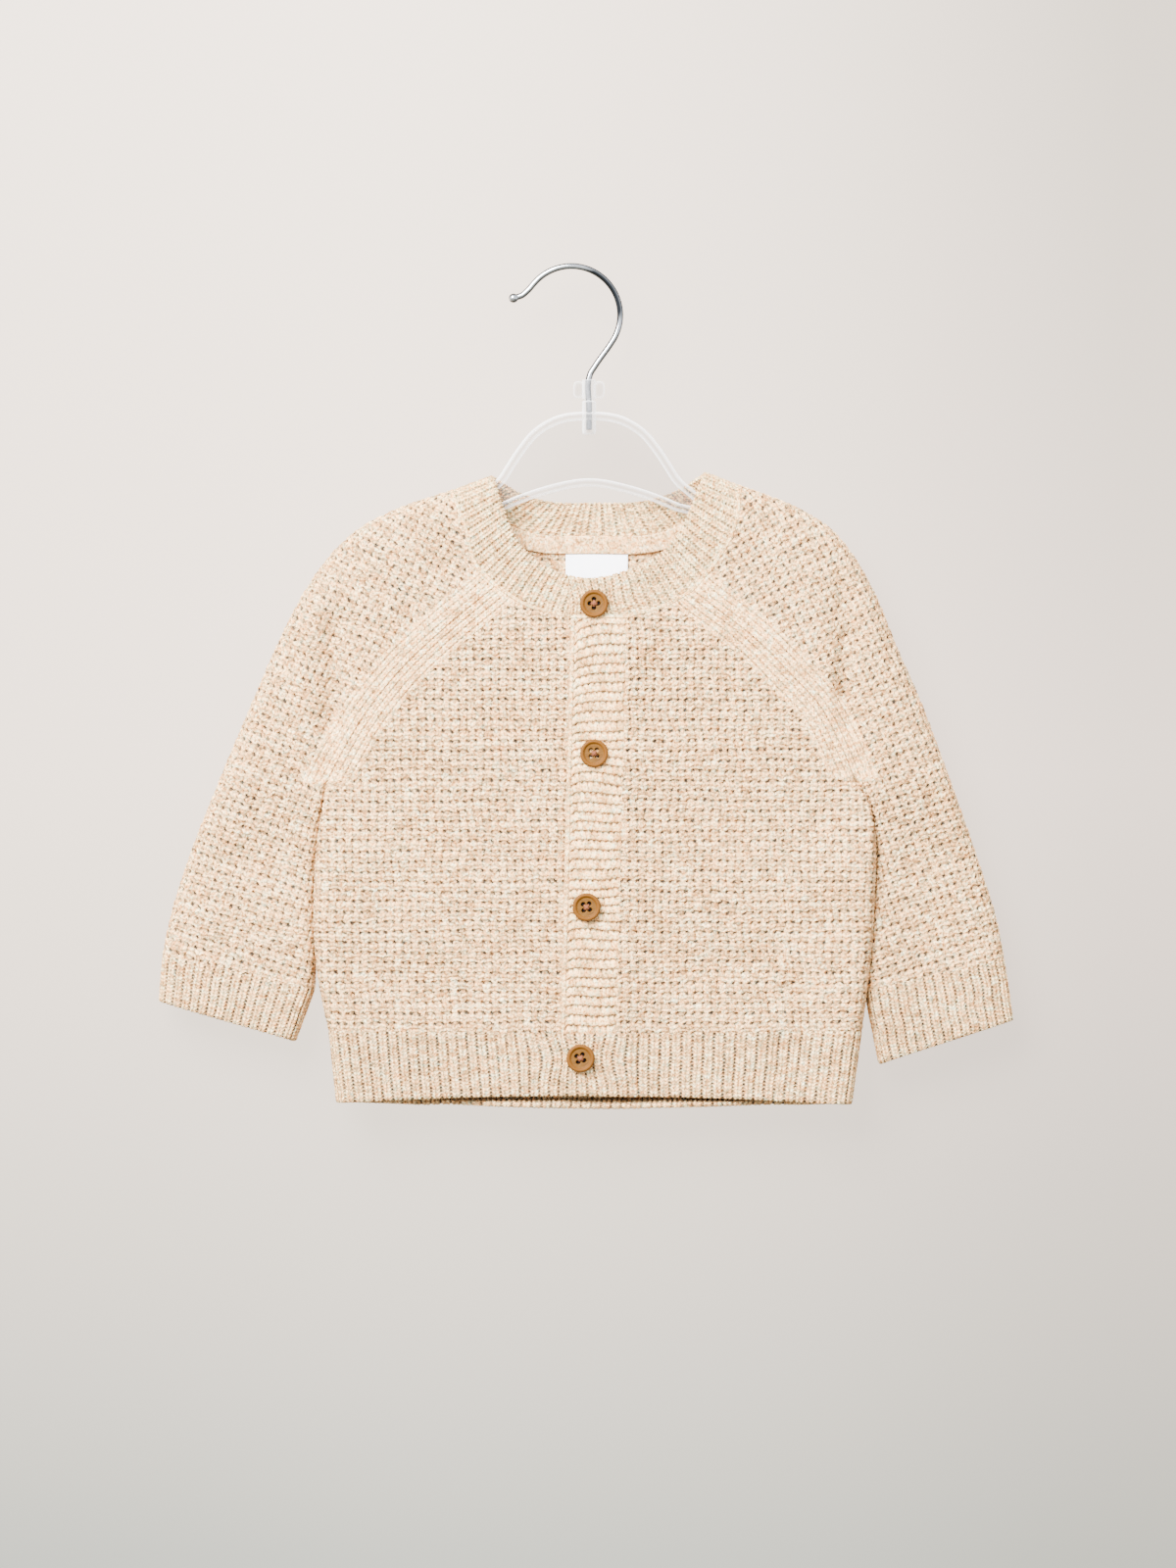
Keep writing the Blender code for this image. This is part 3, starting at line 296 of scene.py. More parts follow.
def overlap_lift(plan: Array) -> Array:
    """How far the left half stands out over the right one: a wall and a gap, less beyond it."""
    beyond = (plan[..., 0] - band_edge_x(plan[..., 1]) - BAND_WIDTH) / 0.020  # width of the slope
    return (CLOTH + SEAM_GAP) * ease(1 - beyond)


def band_line(offset: float, top_z: float, bottom_z: float = HEM_SEAM_Z) -> Array:
    """A line up the front at this distance from the buttonhole band's free edge."""
    z = np.array([bottom_z, top_z])
    return np.stack([band_edge_x(z) + offset, z], -1)


# ---------------------------------------------------------------- the flattened form
@dataclass(frozen=True)
class Form:
    """How deep the garment's outer surface lies at each place of its plan."""

    roll: float = 0.030  # width beside a folded edge over which the cloth rounds off
    roll_power: int = 4
    fullness: Line = (
        (-0.402, 0.0095), (-0.362, 0.0108), (-0.290, 0.0124), (-0.200, 0.0118), (-0.150, 0.0104),
        (-0.100, 0.0090),
    )
    sleeve_share: float = 0.70  # of the body's depth
    sleeve_start: float = 0.122  # distance from the middle where it begins to fall to that
    sleeve_slope: float = 0.045
    folds: tuple[Fold, ...] = (
        Fold(-0.1240, -0.1680, -0.1250, -0.2160, 0.0060, 0.0030),
        Fold(0.1225, -0.1520, 0.1270, -0.2150, 0.0060, 0.0034),
        Fold(0.0420, -0.3440, 0.1200, -0.3090, 0.0110, 0.0014),
    )
    front_creases: tuple[Fold, ...] = (
        Fold(-0.1217, -0.1700, -0.1222, -0.2140, 0.0042, 0.0024),
        Fold(-0.1222, -0.2140, -0.1262, -0.2400, 0.0042, 0.0018),
        Fold(0.1227, -0.1760, 0.1213, -0.2032, 0.0042, 0.0024),
        Fold(0.1213, -0.2032, 0.1300, -0.2370, 0.0042, 0.0018),
        Fold(-0.1130, -0.2560, -0.0820, -0.2840, 0.0065, 0.0010),
        Fold(0.1180, -0.2560, 0.0900, -0.2880, 0.0065, 0.0011),
        Fold(0.0700, -0.3560, 0.1230, -0.3340, 0.0060, 0.0010),
        Fold(-0.0600, -0.3480, -0.1150, -0.3300, 0.0070, 0.0008),
        Fold(-0.1500, -0.2760, -0.1880, -0.2900, 0.0065, 0.0010),
        Fold(0.1560, -0.2700, 0.1840, -0.2900, 0.0065, 0.0010),
        Fold(0.1500, -0.3060, 0.1900, -0.3200, 0.0055, 0.0008),
    )
    back_creases: tuple[Fold, ...] = (
        Fold(-0.1180, -0.1700, -0.1210, -0.2300, 0.0050, 0.0022),
        Fold(0.1190, -0.1700, 0.1230, -0.2300, 0.0050, 0.0022),
        Fold(-0.1080, -0.2500, -0.0500, -0.2820, 0.0085, 0.0013),
        Fold(0.1100, -0.2520, 0.0480, -0.2900, 0.0085, 0.0013),
        Fold(-0.0900, -0.3440, -0.0100, -0.3300, 0.0090, 0.0011),
        Fold(0.0300, -0.3420, 0.1120, -0.3220, 0.0080, 0.0011),
        Fold(-0.1500, -0.2700, -0.1860, -0.2880, 0.0065, 0.0010),
        Fold(0.1540, -0.2740, 0.1840, -0.2900, 0.0065, 0.0010),
        Fold(-0.0300, -0.1600, 0.0320, -0.1560, 0.0090, 0.0009),
    )
    waves: int = 6
    wave: float = 0.00045  # height of the cloth's slow, shallow unevenness
    wave_length: tuple[float, float] = (0.035, 0.090)
    wave_shift: float = 1.7  # of the phase, one way on each layer
    least: float = 0.00004  # half depth at a folded edge
    spare_depth: float = 0.0105  # half depth for which the spare cloth is worked out

    def half_depth(self, plan: Array) -> Array:
        """Half depth by height, less on the sleeves."""
        body = np.interp(plan[..., 1], *np.array(self.fullness).T)
        outwards = (np.abs(plan[..., 0]) - self.sleeve_start) / self.sleeve_slope
        return body * (1 - (1 - self.sleeve_share) * ease(outwards))

    def troughs(self, plan: Array, creases: tuple[Fold, ...]) -> Array:
        """Depth of soft troughs: each a bell curve of the distance from its line."""
        depth = np.zeros(plan.shape[:-1])
        for c in creases:
            distance = nearest(plan, np.array([[c.x0, c.z0], [c.x1, c.z1]]))[0]
            depth += c.depth * np.exp(-((distance / c.half_width) ** 2))
        return depth

    def unevenness(self, plan: Array, face: Array) -> Array:
        """Sum of a few sine waves of seeded length and direction, shifted on the other layer.

        Args:
            plan: Grid of places in x and z.
            face: -1 on the front layer, 1 on the back one and 0 on a fold.

        Returns:
            How far the cloth stands out by it.
        """
        rng = np.random.default_rng(7)
        total = np.zeros(plan.shape[:-1])
        for _ in range(self.waves):
            angle, length = rng.uniform(0, math.tau), rng.uniform(*self.wave_length)
            phase = rng.uniform(0, math.tau) + self.wave_shift * face
            reach = plan[..., 0] * math.cos(angle) + plan[..., 1] * math.sin(angle)
            total = total + np.sin(math.tau * reach / length + phase)
        return self.wave * total / 2

    def depth(self, plan: Array, face: Array, distance: Array) -> Array:
        """Half depth of the outer surface.

        With d the distance to the nearest folded edge, it is the full half depth, less the folds
        and creases, times (1 - (1 - d / roll) ^ power) ^ 1/2.

        Args:
            plan: Grid of places in x and z.
            face: -1 on the front layer, 1 on the back one and 0 on a fold.
            distance: Distance to the nearest folded edge.

        Returns:
            The half depth at each place.
        """
        limit = self.half_depth(plan) - self.troughs(plan, self.folds)
        limit = limit - np.where(face < 0, self.troughs(plan, self.front_creases), 0)
        limit = limit - np.where(face > 0, self.troughs(plan, self.back_creases), 0)
        limit = limit + self.unevenness(plan, face)
        left = 1 - np.clip(distance / self.roll, 0, 1)
        return np.maximum(limit * np.sqrt(1 - left**self.roll_power), self.least)

    def spare(self, distance: Array) -> Array:
        """Cloth that the rounding takes up beyond this distance from a folded edge.

        It is the run along the rounded surface from there to the flat, less the straight run.
        """
        s = self.roll * even(400) ** 3
        height = self.spare_depth * np.sqrt(1 - (1 - s / self.roll) ** self.roll_power)
        extra = np.hypot(np.diff(s), np.diff(height)) - np.diff(s)
        total = np.concatenate([[0], np.cumsum(extra)])
        return total[-1] - np.interp(distance, s, total)

    def spread(self, count: int, width: float, first: bool, last: bool) -> Array:
        """Fractions of a row's width, even along the cloth's rounded surface.

        Args:
            count: Steps across the row.
            width: Straight width of the row.
            first: Whether the row starts at a folded edge.
            last: Whether it ends at one.

        Returns:
            Fractions from 0 to 1.
        """
        x = np.linspace(0, 1, 4001) ** 2 * width / 2
        x = np.concatenate([x, width - x[-2::-1]])
        run = x + (self.spare(0) - self.spare(x) if first else 0)
        run = run + (self.spare(width - x) if last else 0)
        return np.interp(np.linspace(run[0], run[-1], count + 1), run, x) / width


FORM = Form()


# ---------------------------------------------------------------- outlines
RIGHT_HALF = Half(
    side=Side.RIGHT,
    shoulder=((-0.0461, -0.0966), (-0.0672, -0.1045)),
    arm_fold=(
        (-0.0672, -0.1045), (-0.0940, -0.1139), (-0.1114, -0.1233), (-0.1250, -0.1362),
        (-0.1358, -0.1515), (-0.1504, -0.1797), (-0.1626, -0.2079), (-0.1745, -0.2360),
    ),
    sleeve_fold=((-0.1745, -0.2360), (-0.1932, -0.2831), (-0.2018, -0.3113), (-0.2052, -0.3277)),
    underarm=(
        (-0.1262, -0.2455), (-0.1289, -0.2630), (-0.1305, -0.2800), (-0.1309, -0.2950),
        (-0.1309, -0.3207), (-0.1320, -0.3442),
    ),
    cuff_end=((-0.2070, -0.3498), (-0.1412, -0.3691)),
    side_seam=(
        (-0.1262, -0.2455), (-0.1296, -0.2630), (-0.1320, -0.2925), (-0.1322, -0.3160),
        (-0.1299, -0.3395), (-0.1250, -0.3640),
    ),
    front_raglan=(
        (-0.1262, -0.2455), (-0.1194, -0.2323), (-0.1076, -0.2126), (-0.0931, -0.1938),
        (-0.0771, -0.1778), (-0.0456, -0.1510),
    ),
    back_raglan=(
        (-0.1262, -0.2455), (-0.1150, -0.2245), (-0.1000, -0.1980), (-0.0640, -0.1420),
        (-0.0475, -0.1200),
    ),
    neck_front=((-0.0456, -0.1510), (-0.0310, -0.1600), (-0.0060, -0.1665)),
    neck_sleeve_front=(
        (-0.0456, -0.1510), (-0.0545, -0.1414), (-0.0606, -0.1216), (-0.0672, -0.1045),
    ),
    neck_sleeve_back=((-0.0672, -0.1045), (-0.0592, -0.1111), (-0.0475, -0.1200)),
    neck_edge=(
        (0.0175, -0.1446), (-0.0005, -0.1468), (-0.0174, -0.1426), (-0.0310, -0.1325),
        (-0.0418, -0.1105), (-0.0461, -0.0966),
    ),
    hem_corner=(-0.1213, -0.3987),
)
LEFT_HALF = Half(
    side=Side.LEFT,
    shoulder=((0.0555, -0.0954), (0.0737, -0.1022)),
    arm_fold=(
        (0.0737, -0.1022), (0.1025, -0.1139), (0.1170, -0.1233), (0.1275, -0.1362),
        (0.1363, -0.1515), (0.1480, -0.1797), (0.1603, -0.2079), (0.1712, -0.2370),
    ),
    sleeve_fold=((0.1712, -0.2370), (0.1875, -0.2831), (0.1962, -0.3113), (0.1997, -0.3291)),
    underarm=(
        (0.1276, -0.2431), (0.1342, -0.2543), (0.1368, -0.2690), (0.1368, -0.2810),
        (0.1360, -0.2960), (0.1337, -0.3200), (0.1325, -0.3451),
    ),
    cuff_end=((0.2042, -0.3592), (0.1396, -0.3804)),
    side_seam=(
        (0.1276, -0.2431), (0.1350, -0.2545), (0.1378, -0.2690), (0.1377, -0.2925),
        (0.1352, -0.3300), (0.1310, -0.3640),
    ),
    front_raglan=(
        (0.1276, -0.2431), (0.1208, -0.2267), (0.1114, -0.2088), (0.0982, -0.1943),
        (0.0846, -0.1802), (0.0503, -0.1529),
    ),
    back_raglan=(
        (0.1276, -0.2431), (0.1170, -0.2220), (0.1030, -0.1950), (0.0690, -0.1410),
        (0.0540, -0.1190),
    ),
    neck_front=((0.0503, -0.1529), (0.0391, -0.1595), (0.0180, -0.1663)),
    neck_sleeve_front=((0.0503, -0.1529), (0.0606, -0.1407), (0.0705, -0.1234), (0.0737, -0.1022)),
    neck_sleeve_back=((0.0737, -0.1022), (0.0650, -0.1100), (0.0540, -0.1190)),
    neck_edge=(
        (0.0555, -0.0954), (0.0492, -0.1105), (0.0435, -0.1235), (0.0348, -0.1341),
        (0.0192, -0.1424), (-0.0005, -0.1468), (-0.0085, -0.1464),
    ),
    hem_corner=(0.1262, -0.3996),
)
NECK_BACK = (
    (-0.0475, -0.1200), (-0.0335, -0.1275), (0.0020, -0.1305), (0.0390, -0.1275),
    (0.0540, -0.1190),
)
NECK_EDGE_BACK = (
    (-0.0461, -0.0966), (-0.0353, -0.1040), (-0.0221, -0.1088), (0.0020, -0.1100),
    (0.0290, -0.1085), (0.0437, -0.1035), (0.0555, -0.0954),
)
DOME = (
    (0.0000, -0.0664), (0.0160, -0.0685), (0.0263, -0.0744), (0.0353, -0.0850), (0.0405, -0.0930),
    (0.0440, -0.0984), (0.0500, -0.1036), (0.0560, -0.1088),
)
ARCH = ((0.0000, -0.1026), (0.0190, -0.1060), (0.0353, -0.1116), (0.0420, -0.1145))


class Button(NamedTuple):
    """A button's middle and the turn of its four holes, in degrees."""

    x: float
    z: float
    turn: float


BUTTONS = (
    Button(0.0024, -0.1590, 45),
    Button(0.0024, -0.2308, 2),
    Button(-0.0012, -0.3045, 6),
    Button(-0.0041, -0.3770, 15),
)


# ---------------------------------------------------------------- shader tools
class Value:
    """A number that varies over a surface: a shader socket with arithmetic."""

    def __init__(self, graph: "Graph", socket: NodeSocket) -> None:
        """Wraps a socket of this graph."""
        self.graph = graph
        self.socket = socket

    def math(self, operation: str, *others: Input) -> "Value":
        """This value and others through one Math node."""
        return self.graph.math(operation, self, *others)

    def __add__(self, other: Input) -> "Value":
        """Sum."""
        return self.math("ADD", other)

    def __sub__(self, other: Input) -> "Value":
        """Difference."""
        return self.math("SUBTRACT", other)

    def __rsub__(self, other: Input) -> "Value":
        """Difference, from a number."""
        return self.graph.math("SUBTRACT", other, self)

    def __mul__(self, other: Input) -> "Value":
        """Product."""
        return self.math("MULTIPLY", other)

    def __truediv__(self, other: Input) -> "Value":
        """Quotient."""
        return self.math("DIVIDE", other)

    def __rtruediv__(self, other: Input) -> "Value":
        """Quotient of a number and this value."""
        return self.graph.math("DIVIDE", other, self)

    __radd__ = __add__
    __rmul__ = __mul__


class Graph:
    """The node tree of one material."""

    def __init__(self, name: str) -> None:
        """Makes a material of this name with a Principled shader."""
        self.material = bpy.data.materials.new(name)
        self.material.use_nodes = True
        self.tree = self.material.node_tree
        self.shader = self.tree.nodes["Principled BSDF"]
        self.output = self.tree.nodes["Material Output"]

    def node(self, kind: str, settings: dict | None = None, inputs: dict | None = None) -> Node:
        """Adds a node.

        Args:
            kind: Type of the node, without ShaderNode.
            settings: Its properties, set first. "stops" are a ramp's places and colours.
            inputs: Numbers, colours, sockets or Values for its sockets, by name or number.

        Returns:
            The node.
        """
        made = self.tree.nodes.new("ShaderNode" + kind)
        for key, value in (settings or {}).items():
            if key == "stops":
                self._set_stops(made.color_ramp, value)
            else:
                setattr(made, key, value)
        for key, value in (inputs or {}).items():
            self.feed(made.inputs[key], value)
        return made

    @staticmethod
    def _set_stops(ramp: ColorRamp, stops: Sequence[tuple[float, Colour]]) -> None:
        """Gives a ramp these places and colours."""
        while len(ramp.elements) < len(stops):
            ramp.elements.new(0.5)
        for element, (place, colour) in zip(ramp.elements, stops):
            element.position = place
            element.color = (*colour, 1)

    def feed(self, socket: NodeSocket, value: Input) -> None:
        """Links a socket or Value to an input, or sets it to a number or colour."""
        if isinstance(value, Value):
            value = value.socket
        if isinstance(value, NodeSocket):
            self.tree.links.new(value, socket)
        elif isinstance(value, tuple) and socket.type == "RGBA":
            socket.default_value = (*value, 1)
        else:
            socket.default_value = value

    def math(self, operation: str, *values: Input) -> Value:
        """One Math node on up to three values."""
        made = self.node("Math", {"operation": operation}, dict(enumerate(values)))
        return Value(self, made.outputs[0])

    def uv(self, name: str) -> tuple[Value, Value]:
        """The two coordinates of a UV map."""
        split = self.node("SeparateXYZ", None, {0: self.node("UVMap", {"uv_map": name}).outputs[0]})
        return Value(self, split.outputs[0]), Value(self, split.outputs[1])

    def vector(self, x: Input, y: Input, z: Input = 0.0) -> NodeSocket:
        """A vector of three values."""
        return self.node("CombineXYZ", None, {0: x, 1: y, 2: z}).outputs[0]

    def place(self, height: float = 1.0) -> NodeSocket:
        """Object coordinates, the height scaled by this much."""
        inputs = {"Vector": self.node("TexCoord").outputs["Object"], "Scale": (1, 1, height)}
        return self.node("Mapping", None, inputs).outputs[0]

    def noise(self, at: NodeSocket, scale: float, detail: float, rough: float) -> Value:
        """Cloudy noise from about 0 to 1."""
        inputs = {"Vector": at, "Scale": scale, "Detail": detail, "Roughness": rough}
        return Value(self, self.node("TexNoise", None, inputs).outputs[0])

    def ramp(self, value: Input, stops: Sequence[tuple[float, Colour]]) -> NodeSocket:
        """Colour by value."""
        return self.node("ValToRGB", {"stops": stops}, {0: value}).outputs[0]

    def mix(self, share: Input, first: Input, second: Input, blend: str = "MIX") -> NodeSocket:
        """Two colours mixed or blended."""
        settings = {"data_type": "RGBA", "blend_type": blend}
        return self.node("Mix", settings, {0: share, 6: first, 7: second}).outputs[2]

    def tinted(self, colour: Input, tint: Input) -> NodeSocket:
        """A colour times another."""
        return self.mix(1.0, colour, tint, "MULTIPLY")

    def bump(self, height: Input, distance: float) -> None:
        """Feeds the shader's normal from a height of 0 to 1 over this many metres."""
        inputs = {"Height": height, "Distance": distance, "Strength": 1.0}
        self.feed(self.shader.inputs["Normal"], self.node("Bump", None, inputs).outputs[0])

    def set(self, **values: Input) -> None:
        """Sets or feeds the shader's own sockets, named with underscores for spaces."""
        for key, value in values.items():
            self.feed(self.shader.inputs[key.replace("_", " ")], value)

    def blend(self, share: Input, first: Input, second: Input) -> None:
        """Mixes two shaders into the material's surface."""
        mixed = self.node("MixShader", None, {0: share, 1: first, 2: second})
        self.feed(self.output.inputs["Surface"], mixed.outputs[0])


# ---------------------------------------------------------------- heights of the stitches
# The same formulas serve grids of points and shaders. Each takes u in wales across and v in
# courses up, and gives a height from 0 to 1.
Field = Array | Value


def apply(value: Field, operation: str, array_function: Callable, *others: float | Field) -> Field:
    """One operation on a shader Value or on an array."""
    shading = isinstance(value, Value)
    return value.math(operation, *others) if shading else array_function(value, *others)


def sine(value: Field) -> Field:
    """Sine."""
    return apply(value, "SINE", np.sin)


def whole(value: Field) -> Field:
    """Whole part."""
    return apply(value, "FLOOR", np.floor)


def rest(value: Field) -> Field:
    """What is left over the whole part."""
    return value - whole(value)


def size(value: Field) -> Field:
    """Size without its sign."""
    return apply(value, "ABSOLUTE", np.abs)


def least(value: Field, limit: float) -> Field:
    """The value, or the limit where it is lower."""
    return apply(value, "MAXIMUM", np.maximum, limit)


def most(value: Field, limit: float) -> Field:
    """The value, or the limit where it is higher."""
    return apply(value, "MINIMUM", np.minimum, limit)


def power(value: Field, exponent: float) -> Field:
    """A value above 0 to a power."""
    return apply(least(value, 1e-5), "POWER", np.power, exponent)


def step_up(value: Field) -> Field:
    """0 below 0, 1 above 1 and smooth between."""
    value = most(least(value, 0.0), 1.0)
    return value * value * (3 - 2 * value)


def dip(value: Field, width: float) -> Field:
    """1 where the value is 0 and less on both sides: 1 / (1 + (value / width) ^ 4)."""
    x = value / width
    x = x * x
    return 1 / (1 + x * x)


def knit_stitch(u: Field, v: Field) -> Field:
    """Height of knit stitches: in each wale two plump legs lean out from a point at the bottom.

    With a the distance from the wale's middle, stitches above each other are parted faintly where
    v - 1.3 a is whole. Between the wales runs a narrow groove with a small pit at each stitch.
    """
    a = size(rest(u) - 0.5)
    parting = dip(rest(v - 1.3 * a) - 0.5, 0.15)
    groove = dip(a - 0.5, 0.10) * (0.15 + 0.52 * dip(rest(v - 0.15) - 0.5, 0.22))
    return (1 - 0.12 * dip(a, 0.06)) * (1 - 0.20 * parting) * (1 - groove)


def purl_bars(u: Field, v: Field) -> Field:
    """Height of purl bars: one arched bar across each wale in each course.

    With a the distance from the wale's middle in half wales, the bars are parted where
    v + 0.3 a^2 is whole, and they thin out towards the wale's edges as 1 - 0.5 a^4.
    """
    a = 2 * (rest(u) - 0.5)
    a = a * a
    return power(sine(math.pi * rest(v + 0.3 * a)), 0.5) * (1 - 0.5 * a * a)


def double_moss(u: Field, v: Field) -> Field:
    """Height of double moss: blocks of one wale and two courses, knit and purl by turns.

    A knit block is two stitches that stand up. A purl block is two wide bars, and along its foot,
    over the knit block below, runs a thin arched groove. Every block's corners are pits, and its
    courses slant a little.
    """
    purl = 2 * rest(0.5 * (whole(u) + whole(0.5 * v)))
    a = size(rest(u) - 0.5)
    up = rest(0.5 * v + 0.09 * (rest(u) - 0.5))
    b = 4 * a * a
    knit = (1 - 0.22 * dip(a, 0.09)) * (1 - 0.38 * dip(rest(v - 0.9 * a) - 0.5, 0.15))
    arch = (0.36 + 0.40 * b) * dip(up - 0.13 * (1 - b), 0.060)
    bars = (0.50 + 0.38 * purl_bars(u, v)) * (1 - arch)
    near = 0.5 - size(up - 0.5)
    pits = 0.95 * dip(near, 0.115) * dip(a - 0.5, 0.17)
    sides = 0.12 * dip(a - 0.5, 0.08)
    middles = 0.48 * dip(0.5 - near, 0.06) * dip(a - 0.5, 0.12)
    return (knit * (1 - purl) + bars * purl) * (1 - pits) * (1 - sides) * (1 - middles)


def rib_stitch(u: Field, v: Field) -> Field:
    """Height of 1 x 1 rib: broad columns with a narrow groove between them, a pit at each course.

    The columns' stitches are parted faintly where v - 1.7 a is whole, with a the distance from
    the column's middle, and a fainter dotted groove runs down that middle.
    """
    a = size(rest(u) - 0.5)
    x = 2 * a
    x = x * x
    column = 0.72 + 0.28 * power(1 - x * x, 0.6)
    parting = 0.36 * dip(rest(v - 1.7 * a) - 0.5, 0.17)
    groove = dip(a - 0.5, 0.115) * (0.32 + 0.66 * dip(rest(v) - 0.5, 0.25))
    middle = dip(a, 0.100) * (0.14 + 0.40 * dip(rest(v + 0.5) - 0.5, 0.25))
    return column * (1 - parting) * (1 - middle) * (1 - groove)


def garter_ridge(u: Field, v: Field) -> Field:
    """Height of garter stitch: ridges across, of slanted loops that shift from ridge to ridge.

    With p the place along a loop from its middle, the ridges are parted by a thin groove where
    v + 0.45 p^2 is whole, deepest between two loops.
    """
    p = rest(u + 0.5 * whole(v) + 0.35 * rest(v)) - 0.5
    x = rest(v + 0.45 * p * p)
    ridge = 0.76 + 0.24 * power(sine(math.pi * x), 0.7)
    line = dip(0.5 - size(x - 0.5), 0.080) * (0.46 + 0.40 * dip(size(p) - 0.5, 0.20))
    return ridge * (1 - line) * (1 - 0.16 * dip(size(p) - 0.5, 0.10))


def jersey(u: Field, v: Field) -> Field:
    """Height of fine jersey, knit stitches a fifth as high."""
    return 0.8 + 0.2 * knit_stitch(u, v)


class Stitch(Enum):
    """How a piece is knitted."""

    DOUBLE_MOSS = "double moss"
    RIB = "1 x 1 rib"
    GARTER = "garter ridges"
    JERSEY = "fine jersey"

    @property
    def height(self) -> Callable[[Field, Field], Field]:
        """Formula of its height from 0 to 1 over wales and courses."""
        return {
            Stitch.DOUBLE_MOSS: double_moss,
            Stitch.RIB: rib_stitch,
            Stitch.GARTER: garter_ridge,
            Stitch.JERSEY: jersey,
        }[self]


EDGE_WALES = {Stitch.DOUBLE_MOSS: 3.6}  # plain knit wales beside a raglan seam, else one


def knit_height(stitch: Stitch, piece: tuple[Field, Field], seam: tuple[Field, Field]) -> Field:
    """Height of a piece's stitches, with plain knit beside its raglan seams or its chain edge.

    Args:
        stitch: How the piece is knitted.
        piece: Wales and courses of the piece.
        seam: Wales counted away from the nearest raglan seam or chain edge, and courses along it.

    Returns:
        Height from 0 to 1.
    """
    beyond = step_up((seam[0] - EDGE_WALES.get(stitch, 1.0)) / 0.15)
    return stitch.height(*piece) * beyond + knit_stitch(*seam) * (1 - beyond)


# ---------------------------------------------------------------- meshes
def mesh_object(
    name: str,
    points: Array,
    faces: Faces,
    maps: dict[str, Array] | None = None,
    hard: Array | None = None,
) -> Object:
    """Makes an object of a mesh.

    Args:
        name: Name of the object.
        points: Its points, one row of x, y and z each.
        faces: Its faces, an array for each face size.
        maps: UV maps by name, one row of two coordinates for each point.
        hard: Points whose edges between them stay sharp.

    Returns:
        The object, smooth and linked to the scene.
    """
    mesh = bpy.data.meshes.new(name)
    loops = np.concatenate([f.ravel() for f in faces]).astype(np.int32)
    sizes = np.concatenate([np.full(len(f), f.shape[1]) for f in faces]).astype(np.int32)
    mesh.vertices.add(len(points))
    mesh.vertices.foreach_set("co", points.astype(np.float32).ravel())
    mesh.loops.add(len(loops))
    mesh.loops.foreach_set("vertex_index", loops)
    mesh.polygons.add(len(sizes))
    starts = np.concatenate([[0], np.cumsum(sizes)[:-1]]).astype(np.int32)
    mesh.polygons.foreach_set("loop_start", starts)
    mesh.polygons.foreach_set("loop_total", sizes)
    mesh.update(calc_edges=True)
    mesh.validate()
    mesh.shade_smooth()
    for key, values in (maps or {}).items():
        layer = mesh.uv_layers.new(name=key)
        layer.uv.foreach_set("vector", values[loops].astype(np.float32).ravel())
    if hard is not None:
        ends = np.empty(2 * len(mesh.edges), np.int32)
        mesh.edges.foreach_get("vertices", ends)
        sharp = mesh.attributes.new("sharp_edge", "BOOLEAN", "EDGE")
        sharp.data.foreach_set("value", hard[ends.reshape(-1, 2)].all(axis=1))
    made = bpy.data.objects.new(name, mesh)
    bpy.context.scene.collection.objects.link(made)
    return made


def grid_quads(rows: int, columns: int, start: int = 0) -> Array:
    """Faces of a grid of points numbered row by row from start."""
    index = np.arange(rows * columns).reshape(rows, columns) + start
    corners = index[:-1, :-1], index[:-1, 1:], index[1:, 1:], index[1:, :-1]
    return np.stack(corners, -1).reshape(-1, 4)


def ring_quads(index: Array) -> Array:
    """Faces between closed rings of points, given as rows of point numbers."""
    beside = np.roll(index, -1, axis=1)
    return np.stack([index[:-1], beside[:-1], beside[1:], index[1:]], -1).reshape(-1, 4)


def ring_faces(rows: int, segments: int) -> tuple[Array, Array]:
    """Faces of a closed skin of rings, whose two ends are fans to the last two points.

    Args:
        rows: Rings, numbered from the first one.
        segments: Points round each.

    Returns:
        Quads between the rings, and the triangles of both ends.
    """
    index = np.arange(rows * segments).reshape(rows, segments)
    low, high = (np.full(segments, index.size + end) for end in (0, 1))
    low = np.stack([low, np.roll(index[0], -1), index[0]], -1)
    high = np.stack([high, index[-1], np.roll(index[-1], -1)], -1)
    return ring_quads(index), np.concatenate([low, high])


def circle(segments: int) -> Array:
    """Even points round a circle of radius 1: the cosine and sine of their angles."""
    angle = math.tau * np.arange(segments) / segments
    return np.stack([np.cos(angle), np.sin(angle)], -1)


def border(rows: int, columns: int) -> list[Array]:
    """Rows and columns of the points round a grid, along its first row first."""
    grids = np.mgrid[:rows, :columns]
    return [np.concatenate([g[0, :-1], g[:-1, -1], g[-1, :0:-1], g[:0:-1, 0]]) for g in grids]


